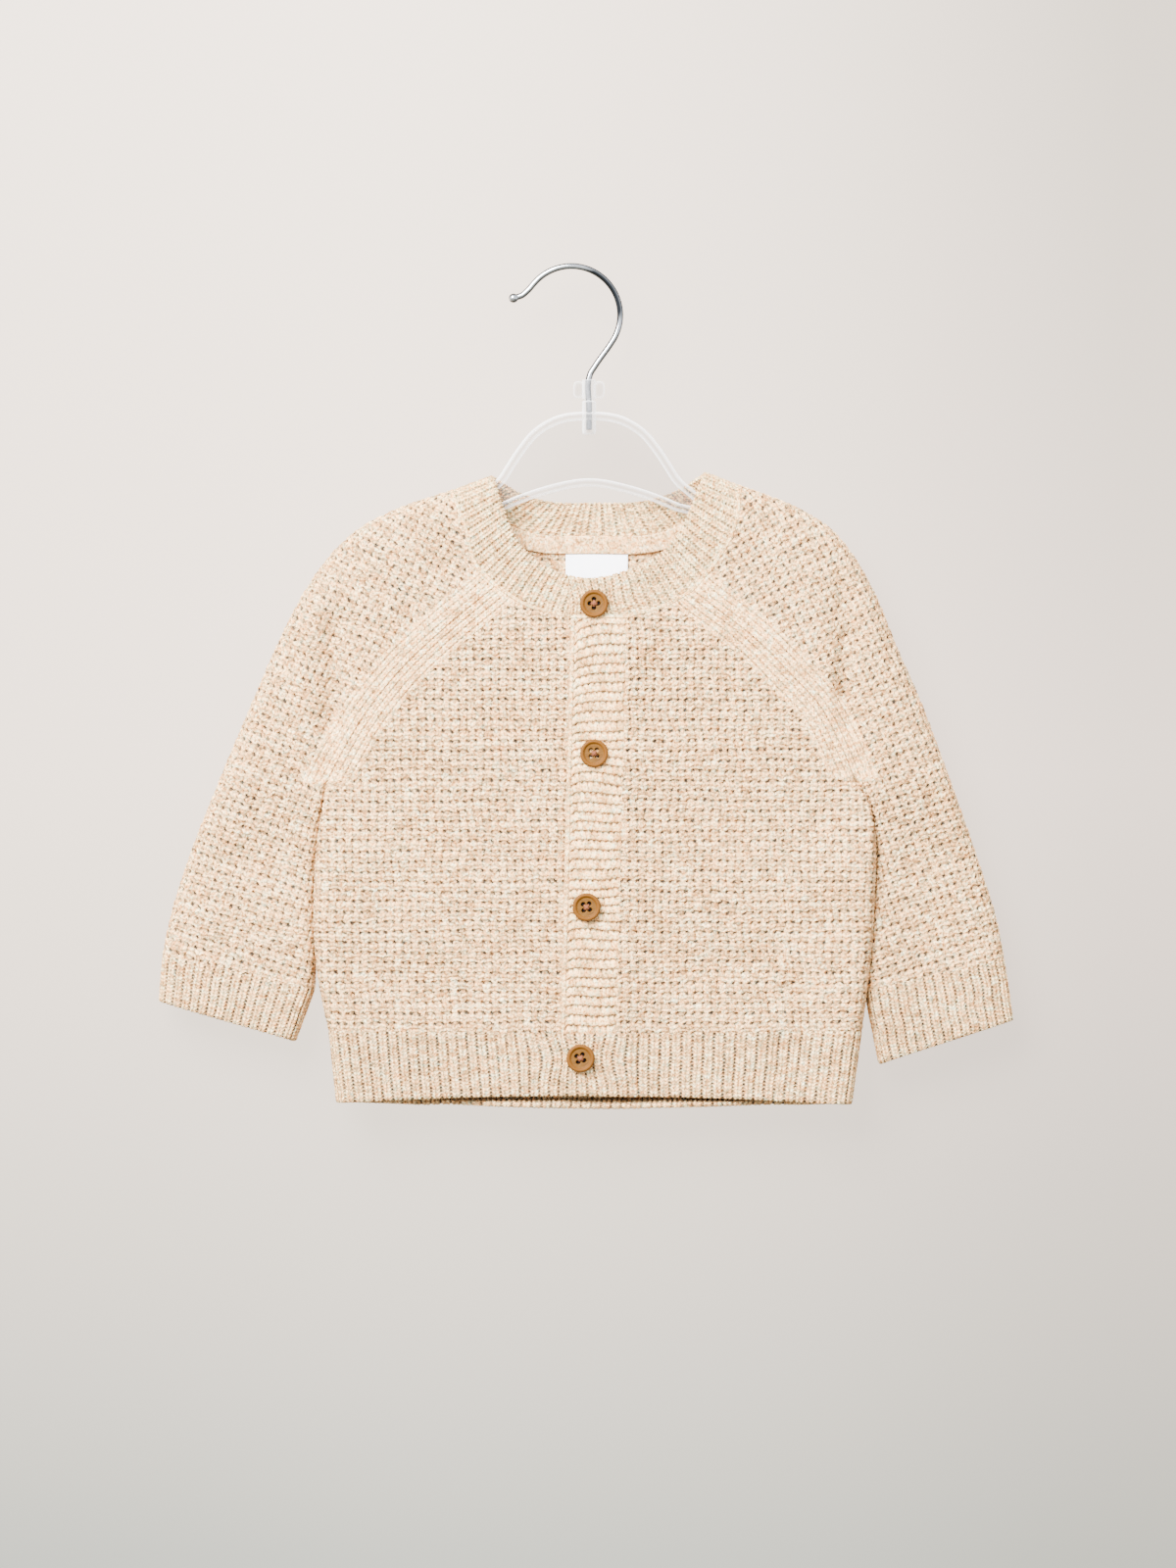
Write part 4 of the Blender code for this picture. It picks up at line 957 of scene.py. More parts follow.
def rim_faces(
    shape: tuple[int, int], inner: tuple[int, int], lead: tuple[int, int], step: int
) -> Array:
    """Triangles round a wall between a fine outer grid and a coarse inner one.

    Every fine edge of the border gets a triangle to the coarse point nearest to its middle, and
    where that point changes, another triangle joins the two coarse points.

    Args:
        shape: Rows and columns of the fine grid.
        inner: Rows and columns of the coarse grid.
        lead: Rows and columns of the fine grid before the coarse grid's first ones.
        step: Fine steps for each coarse one.

    Returns:
        Faces, with the coarse points numbered after the fine ones.
    """
    r, c = border(*shape)
    fine = r * shape[1] + c
    after = np.roll(fine, -1)
    middle_r, middle_c = (r + np.roll(r, -1)) / 2, (c + np.roll(c, -1)) / 2
    near_r = np.clip(np.floor((middle_r - lead[0]) / step + 0.5), 0, inner[0] - 1).astype(int)
    near_c = np.clip(np.floor((middle_c - lead[1]) / step + 0.5), 0, inner[1] - 1).astype(int)
    coarse = near_r * inner[1] + near_c + shape[0] * shape[1]
    following = np.roll(coarse, -1)
    changes = coarse != following
    fans = np.stack([after, fine, coarse], -1)
    joins = np.stack([after, coarse, following], -1)[changes]
    return np.concatenate([fans, joins])


class Border(Enum):
    """A side of a grid of rows and columns."""

    FIRST_ROW = (0, False)
    LAST_ROW = (0, True)
    FIRST_COLUMN = (1, False)
    LAST_COLUMN = (1, True)

    def first(self, grid: Array) -> Array:
        """The grid turned so that this side is its first row."""
        axis, last = self.value
        grid = np.swapaxes(grid, 0, 1) if axis else grid
        return grid[::-1] if last else grid

    def back(self, grid: Array) -> Array:
        """A grid turned by first, turned back."""
        axis, last = self.value
        grid = grid[::-1] if last else grid
        return np.swapaxes(grid, 0, 1) if axis else grid


def square_to(grid: Array) -> Array:
    """Unit vectors square to a grid of points: the cross product of its slopes both ways."""
    across = np.cross(np.gradient(grid, axis=1), np.gradient(grid, axis=0))
    return across / np.maximum(np.linalg.norm(across, axis=-1, keepdims=True), 1e-12)


# Reach of the unevenness of wales and of courses, in stitches, for each of its waves.
UNEVEN = {Stitch.DOUBLE_MOSS: (0.080, 0.090), Stitch.RIB: (0.022, 0.055)}
UNEVEN_ELSE = (0.055, 0.055)
UNEVEN_SEAM = (0.015, 0.055)


@dataclass
class Cloth:
    """A knitted piece as grids over its rows and columns, before it becomes a mesh.

    Its own stitches are given as maps, or as a pitch by which they are counted along its surface.
    """

    name: str
    plan: Array  # places in x and z
    face: Array  # -1 on the front layer, 1 on the back one and 0 on a fold
    distance: Array  # to the nearest folded edge
    stitch: Stitch
    maps: Array | None = None  # wales and courses
    pitch: tuple[float, float] = (RIB_PITCH, RIB_COURSE)
    raglan: Array | None = None  # wales away from a raglan seam or chain edge, courses along it
    middle: Array | float = 0.0  # y of the middle between the layers
    lift: Array | float = 0.0  # how far it lies outside the form
    under: float = 0.0  # and how far inside
    thick: float = CLOTH
    relief: float = 0.0012  # height of the stitches
    sunk: float = 0.6  # share of it that goes into the form
    drawn: Array | float = 0.0  # wales added where they are drawn together
    free: tuple[Border, ...] = ()  # sides that are rounded over the wall's thickness
    sewn: tuple[Border, ...] = ()  # sides that end at a seam
    fade: float = 0.0011  # width over which the relief begins there
    inner_step: int = 4  # outer steps for each inner one; with one, the inside has relief too
    wraps: int = 4  # rows round a free side
    wrap_turn: float = 168.0  # degrees that they go round

    def build(self) -> Object:
        """Makes the piece as a closed wall with its stitches raised."""
        y = self.middle + self.face * FORM.depth(self.plan, self.face, self.distance)
        points = np.stack([self.plan[..., 0], y, self.plan[..., 1]], -1)
        outward = square_to(points)
        turned = (outward[..., 1] * self.face).sum() < 0
        outward = -outward if turned else outward
        points = points + outward * (np.asarray(self.lift) - self.under)[..., None]
        own = self.run_maps(points) if self.maps is None else self.maps
        own = own + np.stack([np.broadcast_to(self.drawn, own.shape[:2]), 0 * own[..., 0]], -1)
        raglan = np.full_like(own, 99.0) if self.raglan is None else self.raglan
        maps = self.irregular(np.concatenate([own, raglan], -1))
        fade = self.seam_fade(points)[..., None]
        inner = (points - outward * self.thick, outward, maps, fade)
        outer = (points, outward, maps, fade)
        lead = [0, 0]
        for side in self.free:
            axis, last = side.value
            outer = self.rounded(outer, side)
            lead[axis] += 0 if last else self.wraps
        points, outward, maps, fade = outer
        points = points + outward * self.height(maps, fade)
        step = slice(None, None, self.inner_step)
        inner_points, inner_outward, inner_maps, inner_fade = (grid[step, step] for grid in inner)
        if self.inner_step == 1:
            shifted = inner_maps + np.array([0.5, 0, 0, 0])
            inner_points = inner_points - inner_outward * self.height(shifted, inner_fade)
        return self.wall(points, inner_points, maps, inner_maps, tuple(lead), turned)

    def run_maps(self, points: Array) -> Array:
        """Stitches counted by the run along the middle row and up each column."""
        across = run_length(points[len(points) // 2]) / self.pitch[0]
        up = run_length(points) / self.pitch[1]
        return np.stack([np.broadcast_to(across, up.shape), up], -1)

    def irregular(self, maps: Array) -> Array:
        """A slow, seeded unevenness of the stitches: four sine waves for each coordinate.

        Args:
            maps: The piece's wales and courses, and those beside its seam.

        Returns:
            The same, moved by up to about a third of a stitch.
        """
        rng = np.random.default_rng(sum(map(ord, self.name)))
        moved = maps.copy()
        reaches = (*UNEVEN.get(self.stitch, UNEVEN_ELSE), *UNEVEN_SEAM)
        for axis, reach in enumerate(reaches):
            for _ in range(4):
                turn, length = rng.uniform(0, math.tau), rng.uniform(7, 19)
                ahead = maps[..., 0] * math.cos(turn) + maps[..., 1] * math.sin(turn)
                wave = np.sin(math.tau * ahead / length + rng.uniform(0, math.tau))
                moved[..., axis] += reach * wave
        return moved

    def seam_fade(self, points: Array) -> Array:
        """0 at a sewn side, 1 from about a millimetre inside it."""
        fade = np.ones(points.shape[:2])
        for side in self.sewn:
            run = run_length(side.first(points))
            fade = np.minimum(fade, side.back(ease(run / self.fade)))
        return fade

    def height(self, maps: Array, fade: Array) -> Array:
        """How far each point stands out of the form: the stitches' height, less what is sunk."""
        piece, seam = (maps[..., 0], maps[..., 1]), (maps[..., 2], maps[..., 3])
        raised = knit_height(self.stitch, piece, seam)[..., None]
        return self.relief * (raised * fade + self.sunk * (1 - fade) - self.sunk)

    def rounded(self, grids: tuple[Array, ...], side: Border) -> tuple[Array, ...]:
        """Grids with rows added at a free side, on half a circle round to the inner face.

        Args:
            grids: Points, outward directions, maps and fade.
            side: The free side.

        Returns:
            The same grids, longer by the wrap's rows.
        """
        points, outward, maps, fade = (side.first(grid) for grid in grids)
        beyond = points[0] - points[1]
        beyond = beyond - (beyond * outward[0]).sum(-1, keepdims=True) * outward[0]
        step = np.linalg.norm(beyond, axis=-1, keepdims=True)
        beyond = beyond / step
        turn = np.radians(self.wrap_turn) * even(self.wraps)[:0:-1, None, None]
        radius = self.thick / 2
        away = beyond * np.sin(turn) - outward[0] * (1 - np.cos(turn))
        added = points[0] + radius * away
        normals = outward[0] * np.cos(turn) + beyond * np.sin(turn)
        rate = (maps[0] - maps[1]) / step
        more = maps[0] + rate * radius * turn
        same = np.broadcast_to(fade[0], (self.wraps, *fade[0].shape))
        pairs = ((added, points), (normals, outward), (more, maps), (same, fade))
        return tuple(side.back(np.concatenate(pair)) for pair in pairs)

    def wall(
        self, outer: Array, inner: Array, maps: Array, inner_maps: Array, lead: tuple[int, int],
        turned: bool,
    ) -> Object:
        """Joins the two faces and the rim round them.

        Args:
            outer: Points of the outer face.
            inner: Points of the inner face.
            maps: Stitches of the outer face.
            inner_maps: Stitches of the inner face.
            lead: Rows and columns that the outer face has before the inner one's first.
            turned: Whether the grid's own faces look inwards.

        Returns:
            The closed mesh's object.
        """
        fine, coarse = outer.shape[:2], inner.shape[:2]
        count = fine[0] * fine[1]
        front, behind = grid_quads(*fine), grid_quads(*coarse, count)[:, ::-1]
        rim = rim_faces(fine, coarse, lead, self.inner_step)
        faces = [np.concatenate([front, behind]), rim]
        if turned:
            faces = [f[:, ::-1] for f in faces]
        points = np.concatenate([outer.reshape(-1, 3), inner.reshape(-1, 3)])
        every = np.concatenate([maps.reshape(-1, 4), inner_maps.reshape(-1, 4)])
        hard = np.zeros(len(points), bool)
        for side in self.sewn:
            hard[side.first(np.arange(count).reshape(fine))[0]] = True
            hard[side.first(np.arange(count, len(points)).reshape(coarse))[0]] = True
        uv = {"stitch": every[:, :2], "raglan": every[:, 2:]}
        return mesh_object(self.name, points, faces, uv, hard)


# ---------------------------------------------------------------- body, sleeves and trims
HALVES = (RIGHT_HALF, LEFT_HALF)
ARM_EDGES = tuple(half.arm_edge for half in HALVES)


def hang(made: Object, finish: Material, node: str) -> None:
    """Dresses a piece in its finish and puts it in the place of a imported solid.

    Args:
        made: The piece.
        finish: Its material.
        node: Name of the solid.
    """
    made.data.materials.append(finish)
    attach(made, "root")
    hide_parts(node)
    log.info("%s: %d faces", made.name, len(made.data.polygons))


def add_to_root(made: Object, finish: Material) -> None:
    """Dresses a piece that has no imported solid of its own."""
    made.data.materials.append(finish)
    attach(made, "root")


def body_middle(plan: Array) -> Array:
    """y of the body's middle: below the armpits its sides lie up to 3 mm further forward."""
    outwards = ease((np.abs(plan[..., 0]) - 0.085) / 0.040)
    below_armpit = ease((-0.2460 - plan[..., 1]) / 0.040)
    return -0.0030 * outwards * below_armpit


def side_line(lower: Line, upper: Line, steps: tuple[int, int]) -> Array:
    """A boundary from the hem or cuff seam to the armpit and on to the neckband."""
    below = smooth_line(lower[::-1], even(steps[0]))
    return np.concatenate([below, smooth_line(upper, even(steps[1]))[1:]])


def drawn_to(plan: Array, button: Button, sign: int, pitch: float) -> Array:
    """Draws wales together towards a button, over a bell curve round it.

    Args:
        plan: Grid of places in x and z.
        button: The button.
        sign: Side towards which the wales are counted.
        pitch: Width of a wale.

    Returns:
        Wales added at each place.
    """
    rel_x, rel_z = plan[..., 0] - button.x, plan[..., 1] - button.z
    near = np.exp(-((rel_x / 0.016) ** 2) - (rel_z / 0.009) ** 2)
    return 0.45 * sign * rel_x * near / pitch


def beside_raglan(plan: Array, seam: Line) -> Array:
    """Counts the plain knit beside a raglan seam.

    Args:
        plan: Grid of places in x and z.
        seam: The seam, from the armpit up.

    Returns:
        Wales away from the seam, too many for plain knit below the armpit, and courses along it.
    """
    distance, run = nearest(plan, fine_line(seam))
    below = ease((seam[0][1] + 0.001 - plan[..., 1]) / 0.006)
    return np.stack([distance / RAGLAN_WALE + 9 * below, run / RAGLAN_COURSE], -1)


@dataclass
class BodyPanels:
    """Right front, left front and back: double moss, with plain knit along the raglans."""

    finish: Material
    tuck: float = 0.0015  # how far the right front reaches under the buttonhole band
    front_steps: tuple[int, int] = (180, 188)  # rows below and above the armpit
    front_columns: int = 156
    front_width: float = 0.117
    back_steps: tuple[int, int] = (128, 140)
    back_columns: int = 272
    back_width: float = 0.257

    def build(self) -> dict[str, Array]:
        """Makes the three panels.

        Returns:
            Their plans by name, for the trims that are sewn to them.
        """
        plans = {half.named("front"): self.front(half) for half in HALVES}
        plans["back"] = self.back()
        return plans

    def maps(self, plan: Array, spare: Array, sign: int) -> Array:
        """Wales across, with the cloth spared at the sides' folds, and courses from the hem."""
        across = (sign * plan[..., 0] + spare) / MOSS_WALE
        return np.stack([across, (plan[..., 1] - HEM_SEAM_Z) / MOSS_COURSE], -1)

    def front(self, half: Half) -> Array:
        """Makes one front and returns its plan, rows up and columns from the middle outwards."""
        outer = side_line(half.side_seam, half.front_raglan, self.front_steps)
        offset = self.tuck if half.side is Side.RIGHT else BAND_WIDTH
        neck = np.array(half.neck_front)
        centre = band_line(offset, neck[-1, 1])
        neck[-1] = centre[-1]
        centre = along(centre, run_length(outer) / run_length(outer)[-1])
        across = FORM.spread(self.front_columns, self.front_width, False, True)
        bottom = along(np.stack([centre[0], outer[0]]), across)
        plan = patch(bottom, smooth_line(neck[::-1], across), centre, outer)
        distance = edge_distance(plan, half.arm_edge, pressed=[half.body_edge])
        cloth = Cloth(
            name=half.named("front_panel"),
            plan=plan,
            face=np.full(plan.shape[1], -1.0),
            distance=distance,
            stitch=Stitch.DOUBLE_MOSS,
            maps=self.maps(plan, FORM.spare(distance), half.side.sign),
            raglan=beside_raglan(plan, half.front_raglan),
            middle=body_middle(plan),
            lift=overlap_lift(plan) if half.side is Side.LEFT else 0.0,
            sewn=(Border.FIRST_ROW, Border.LAST_ROW, Border.FIRST_COLUMN),
        )
        made = cloth.build()
        hang(made, self.finish, half.named("front"))
        return plan

    def back(self) -> Array:
        """Makes the back and returns its plan, rows up and columns from right to left."""
        right, left = (side_line(h.side_seam, h.back_raglan, self.back_steps) for h in HALVES)
        across = FORM.spread(self.back_columns, self.back_width, True, True)
        bottom = along(np.stack([right[0], left[0]]), across)
        plan = patch(bottom, smooth_line(NECK_BACK, across), right, left)
        distance = edge_distance(plan, *ARM_EDGES, pressed=[half.body_edge for half in HALVES])
        seams = [beside_raglan(plan, half.back_raglan) for half in HALVES]
        cloth = Cloth(
            name="back_panel",
            plan=plan,
            face=np.ones(plan.shape[1]),
            distance=distance,
            stitch=Stitch.DOUBLE_MOSS,
            maps=self.maps(plan, FORM.spare(distance) * np.sign(plan[..., 0]), 1),
            raglan=np.where(seams[0][..., :1] < seams[1][..., :1], *seams),
            middle=body_middle(plan),
            sewn=(Border.FIRST_ROW, Border.LAST_ROW),
        )
        hang(cloth.build(), self.finish, "back")
        return plan


@dataclass
class Sleeves:
    """Both sleeves, each one piece folded along the top of the arm, knitted from the cuff up."""

    finish: Material
    drop: float = 0.0045  # how far behind the body's middle they hang
    drop_length: float = 0.050  # length below the armpit over which they come to hang there
    bend: float = 1.09  # radius of the wales' slow bend
    bend_centre: tuple[float, float] = (-0.854, -0.639)  # on the other side of the body
    width: float = 0.080
    steps: tuple[int, int] = (128, 180)  # rows below and above the armpit
    columns: tuple[int, int] = (96, 80)  # on the front and the back half

    def build(self) -> dict[str, Array]:
        """Makes both sleeves and returns their plans by name."""
        return {half.named("sleeve"): self.sleeve(half) for half in HALVES}

    def plan(self, half: Half) -> Array:
        """Rows up the sleeve, and columns from the front seam over the fold to the back seam."""
        front, back = (
            side_line(half.underarm, raglan, self.steps)
            for raglan in (half.front_raglan, half.back_raglan)
        )
        fold = side_line(half.sleeve_fold, half.arm_fold[::-1], self.steps)
        ahead, behind = (FORM.spread(count, self.width, True, True) for count in self.columns)
        cuff = np.stack([front[0], fold[0]])
        front_top = smooth_line(half.neck_sleeve_front, ahead)
        back_top = smooth_line(half.neck_sleeve_back, behind)
        front_half = patch(along(cuff, ahead), front_top, front, fold)
        back_half = patch(along(cuff[::-1], behind), back_top, fold, back)
        return np.concatenate([front_half, back_half[:, 1:]], axis=1)

    def maps(self, plan: Array, half: Half) -> Array:
        """Counts the stitches: wales on circles round a far centre, courses on spokes from it.

        Args:
            plan: The sleeve's plan.
            half: The half it belongs to.

        Returns:
            Wales outwards and, on the back half, on round the fold, and courses.
        """
        out = half.side.sign * plan[..., 0] - self.bend_centre[0]
        up = plan[..., 1] - self.bend_centre[1]
        to_arm, to_inner = (nearest(plan, edge)[0] for edge in (half.arm_edge, half.inner_edge))
        across = np.hypot(out, up) - self.bend + FORM.spare(to_arm) - FORM.spare(to_inner)
        fold = self.columns[0]
        across[:, fold + 1 :] = 2 * across[:, fold : fold + 1] - across[:, fold + 1 :]
        return np.stack([across / MOSS_WALE, self.bend * np.arctan2(up, out) / MOSS_COURSE], -1)

    def sleeve(self, half: Half) -> Array:
        """Makes one sleeve and returns its plan."""
        plan = self.plan(half)
        ahead, behind = self.columns
        seams = [beside_raglan(plan, seam) for seam in (half.front_raglan, half.back_raglan)]
        face = np.concatenate([-np.ones(ahead), [0], np.ones(behind)])
        below = np.linalg.norm(plan[:, 0] - plan[self.steps[0], 0], axis=-1)
        below[self.steps[0] :] = 0
        drop = self.drop * ease(below / self.drop_length)
        cloth = Cloth(
            name=half.named("sleeve_piece"),
            plan=plan,
            face=face,
            distance=edge_distance(plan, half.arm_edge, pressed=[half.inner_edge]),
            stitch=Stitch.DOUBLE_MOSS,
            maps=self.maps(plan, half),
            raglan=np.where((face < 0.5)[None, :, None], *seams),
            middle=np.broadcast_to(drop[:, None], plan.shape[:2]),
            sewn=(Border.FIRST_ROW, Border.LAST_ROW),
        )
        made = cloth.build()
        hang(made, self.finish, half.named("sleeve"))
        return plan


@dataclass
class RibTrims:
    """Cuffs, and the hem rib of each front and of the back."""

    finish: Material
    plans: dict[str, Array]
    rows: int = 36
    length: float = 0.033
    cuff_pitch: float = 0.0045
    cuff_columns: tuple[int, int] = (128, 96)  # on the front and the back half
    cuff_width: float = 0.076
    right_pitch: float = 0.0047
    left_pitch: float = 0.0051
    front_columns: int = 232
    front_rise: float = 0.0009  # of the front hem at the middle
    front_bow: tuple[float, float] = (0.55, 0.0010)  # where it is raised on the way, and by what
    back_columns: int = 380
    back_width: float = 0.247
    back_fall: float = 0.0012  # of the back hem at the middle
    curl: float = 0.0175  # how far the back's lower edge turns forwards
    curl_slow: tuple[float, float] = (-0.3850, 0.009)  # height where it begins, and its slope's
    curl_quick: tuple[float, float] = (-0.3980, 0.0035)

    def build(self) -> None:
        """Makes the two cuffs and the three hem ribs."""
        for half in HALVES:
            self.cuff(half)
            self.front_hem(half)
        self.back_hem()

    def plan(self, end: Array, seam: Array) -> Array:
        """Rows from just inside the rounded free end up to the seam, both of as many points."""
        rounded = ROUND / self.length
        share = rounded + even(self.rows)[:, None, None] * (1 - rounded)
        return (1 - share) * end + share * seam

    def make(self, name: str, plan: Array, pitch: float, **more: object) -> Object:
        """Makes a rib.

        Args:
            name: Name of its solid.
            plan: Its plan.
            pitch: Width of a rib.
            more: The cloth's other fields.

        Returns:
            The piece.
        """
        made = Cloth(
            name=f"{name}_knit",
            plan=plan,
            stitch=Stitch.RIB,
            pitch=(pitch, RIB_COURSE),
            relief=RIB_RELIEF,
            sewn=(Border.LAST_ROW,),
            **more,
        ).build()
        hang(made, self.finish, name)
        return made

    def cuff(self, half: Half) -> None:
        """Makes a cuff, from the sleeve's seam to its free end."""
        sleeve = self.plans[half.named("sleeve")][0]
        fold = Sleeves.columns[0]
        ahead, behind = (
            FORM.spread(count, self.cuff_width, True, True) for count in self.cuff_columns
        )
        outer, inner = np.array(half.cuff_end)
        rows = ((inner, outer, inner), (sleeve[0], sleeve[fold], sleeve[-1]))
        end, seam = (
            np.concatenate([along(np.stack([a, b]), ahead), along(np.stack([b, c]), behind)[1:]])
            for a, b, c in rows
        )
        plan = self.plan(end, seam)
        on_front, on_back = self.cuff_columns
        made = self.make(
            half.named("cuff"),
            plan,
            self.cuff_pitch,
            face=np.concatenate([-np.ones(on_front), [0], np.ones(on_back)]),
            distance=edge_distance(plan, half.arm_edge, pressed=[half.inner_edge]),
            middle=np.full(plan.shape[:2], Sleeves.drop),
            free=(Border.FIRST_ROW,),
        )

    def front_hem(self, half: Half) -> None:
        """Makes a front's hem rib, from the middle to the side."""
        right = half.side is Side.RIGHT
        offset = UNDER_END if right else ROUND
        pitch = self.right_pitch if right else self.left_pitch
        middle = np.array([BAND_EDGE[0][0] + offset, HEM_FRONT_Z + self.front_rise])
        corner = np.array(half.hem_corner)
        across = FORM.spread(self.front_columns, abs(corner[0] - middle[0]), False, True)
        share, rise = self.front_bow
        half_way = (1 - share) * middle + share * corner + (0, rise)
        end = smooth_line([middle, half_way, corner], across)
        first = [[band_edge_x(HEM_SEAM_Z) + offset, HEM_SEAM_Z]]
        panel = self.plans[half.named("front")][0]
        plan = self.plan(end, along(np.concatenate([first, panel]), across))
        made = self.make(
            half.named("front_rib"),
            plan,
            pitch,
            face=np.full(plan.shape[1], -1.0),
            distance=edge_distance(plan, pressed=[half.body_edge]),
            lift=0.0 if right else overlap_lift(plan),
            middle=body_middle(plan),
            drawn=drawn_to(plan, BUTTONS[-1], half.side.sign, pitch),
            free=(Border.FIRST_ROW, Border.FIRST_COLUMN),
        )

    def turned_forward(self, plan: Array) -> Array:
        """How far the back hem's lower edge turns forwards, over the middle of its width."""
        near = 1 - ease((np.abs(plan[..., 0] - 0.010) - 0.055) / 0.040)
        curls = (self.curl_slow, self.curl_quick)
        slow, quick = (ease((start - plan[..., 1]) / slope) for start, slope in curls)
        return self.curl * near * (0.45 * slow + 0.55 * quick)

    def back_hem(self) -> None:
        """Makes the back's hem rib, its inside in relief as well."""
        low = (0.0, HEM_BACK_Z - self.back_fall)
        across = FORM.spread(self.back_columns, self.back_width, True, True)
        end = smooth_line([RIGHT_HALF.hem_corner, low, LEFT_HALF.hem_corner], across)
        plan = self.plan(end, along(self.plans["back"][0], across))
        made = self.make(
            "back_rib",
            plan,
            RIB_PITCH,
            face=np.ones(plan.shape[1]),
            distance=edge_distance(plan, pressed=[half.body_edge for half in HALVES]),
            middle=body_middle(plan) - self.turned_forward(plan),
            free=(Border.FIRST_ROW,),
            inner_step=1,
        )


@dataclass
class FrontBands:
    """The button band underneath and the buttonhole band on top, with garter ridges across."""

    finish: Material
    plans: dict[str, Array]
    loop: float = 0.0028  # length of a loop along a ridge
    chain: float = 0.0018  # width of the chain at the free edge
    chain_stitch: float = 0.0026
    hook: float = 0.0050  # width over which the ridges turn down towards it
    tilt: float = 0.16  # of the ridges near the neck
    pull: float = 0.30  # how far they are drawn to a button
    pull_reach: float = 0.013
    columns: int = 44
    rows: tuple[int, int] = (160, 440)  # of the under band and of the top one

    def build(self) -> tuple[Array, Array]:
        """Makes both bands and returns the plans of the under one and the top one."""
        right, left = self.plans["right_front"], self.plans["left_front"]
        neck = BAND_EDGE[-1][1]
        under = self.plan(BodyPanels.tuck, UNDER_END, right[-1, 0, 1], neck, self.rows[0])
        over = self.plan(ROUND, BAND_WIDTH, neck, left[-1, 0, 1], self.rows[1])
        self.make("button_band", under, (), Border.FIRST_COLUMN, 0.0)
        self.make(
            "buttonhole_band", over, (Border.FIRST_COLUMN,), Border.LAST_COLUMN, overlap_lift(over)
        )
        return under, over

    def plan(self, start: float, end: float, top_start: float, top_end: float, rows: int) -> Array:
        """Lays out a band between two lines up it.

        Args:
            start: Distance of its first line from the top band's free edge.
            end: The same of its last line.
            top_start: Height of the first line's top.
            top_end: The same of the last line.
            rows: Steps up it.

        Returns:
            Rows up it and columns across it.
        """
        first, last = band_line(start, top_start), band_line(end, top_end)
        share = even(self.columns)[None, :, None]
        first, last = along(first, even(rows))[:, None], along(last, even(rows))[:, None]
        return (1 - share) * first + share * last

    def make(
        self, name: str, plan: Array, free: tuple[Border, ...], seam: Border, lift: Array | float
    ) -> None:
        """Makes a band whose ridges tilt up near the neck and are drawn to the buttons.

        Args:
            name: Name of its solid.
            plan: Its plan.
            free: Its free side, if it shows one.
            seam: Its side that is sewn to a front.
            lift: How far it stands out.
        """
        x = plan[..., 0] - band_edge_x(plan[..., 1])
        z = plan[..., 1] - HEM_SEAM_Z
        tilt = self.tilt * ease((plan[..., 1] + 0.25) / 0.08) - 0.01
        hook = np.clip(1 - x / self.hook, 0, 1) ** 2
        drawn = z - tilt * (x - BAND_WIDTH / 2) + 0.75 * BAND_PITCH * hook
        for button in BUTTONS:
            rel_x, rel_z = plan[..., 0] - button.x, plan[..., 1] - button.z
            near = np.exp(-(rel_x**2 + rel_z**2) / self.pull_reach**2)
            drawn = drawn + self.pull * rel_z * near
        cloth = Cloth(
            name=f"{name}_knit",
            plan=plan,
            face=np.full(plan.shape[1], -1.0),
            distance=np.full(plan.shape[:2], FORM.roll),
            stitch=Stitch.GARTER,
            maps=np.stack([x / self.loop, drawn / BAND_PITCH], -1),
            raglan=np.stack([x / self.chain + (0 if free else 9), z / self.chain_stitch], -1),
            lift=lift,
            free=free,
            sewn=(Border.FIRST_ROW, Border.LAST_ROW, seam),
        )
        made = cloth.build()
        hang(made, self.finish, name)


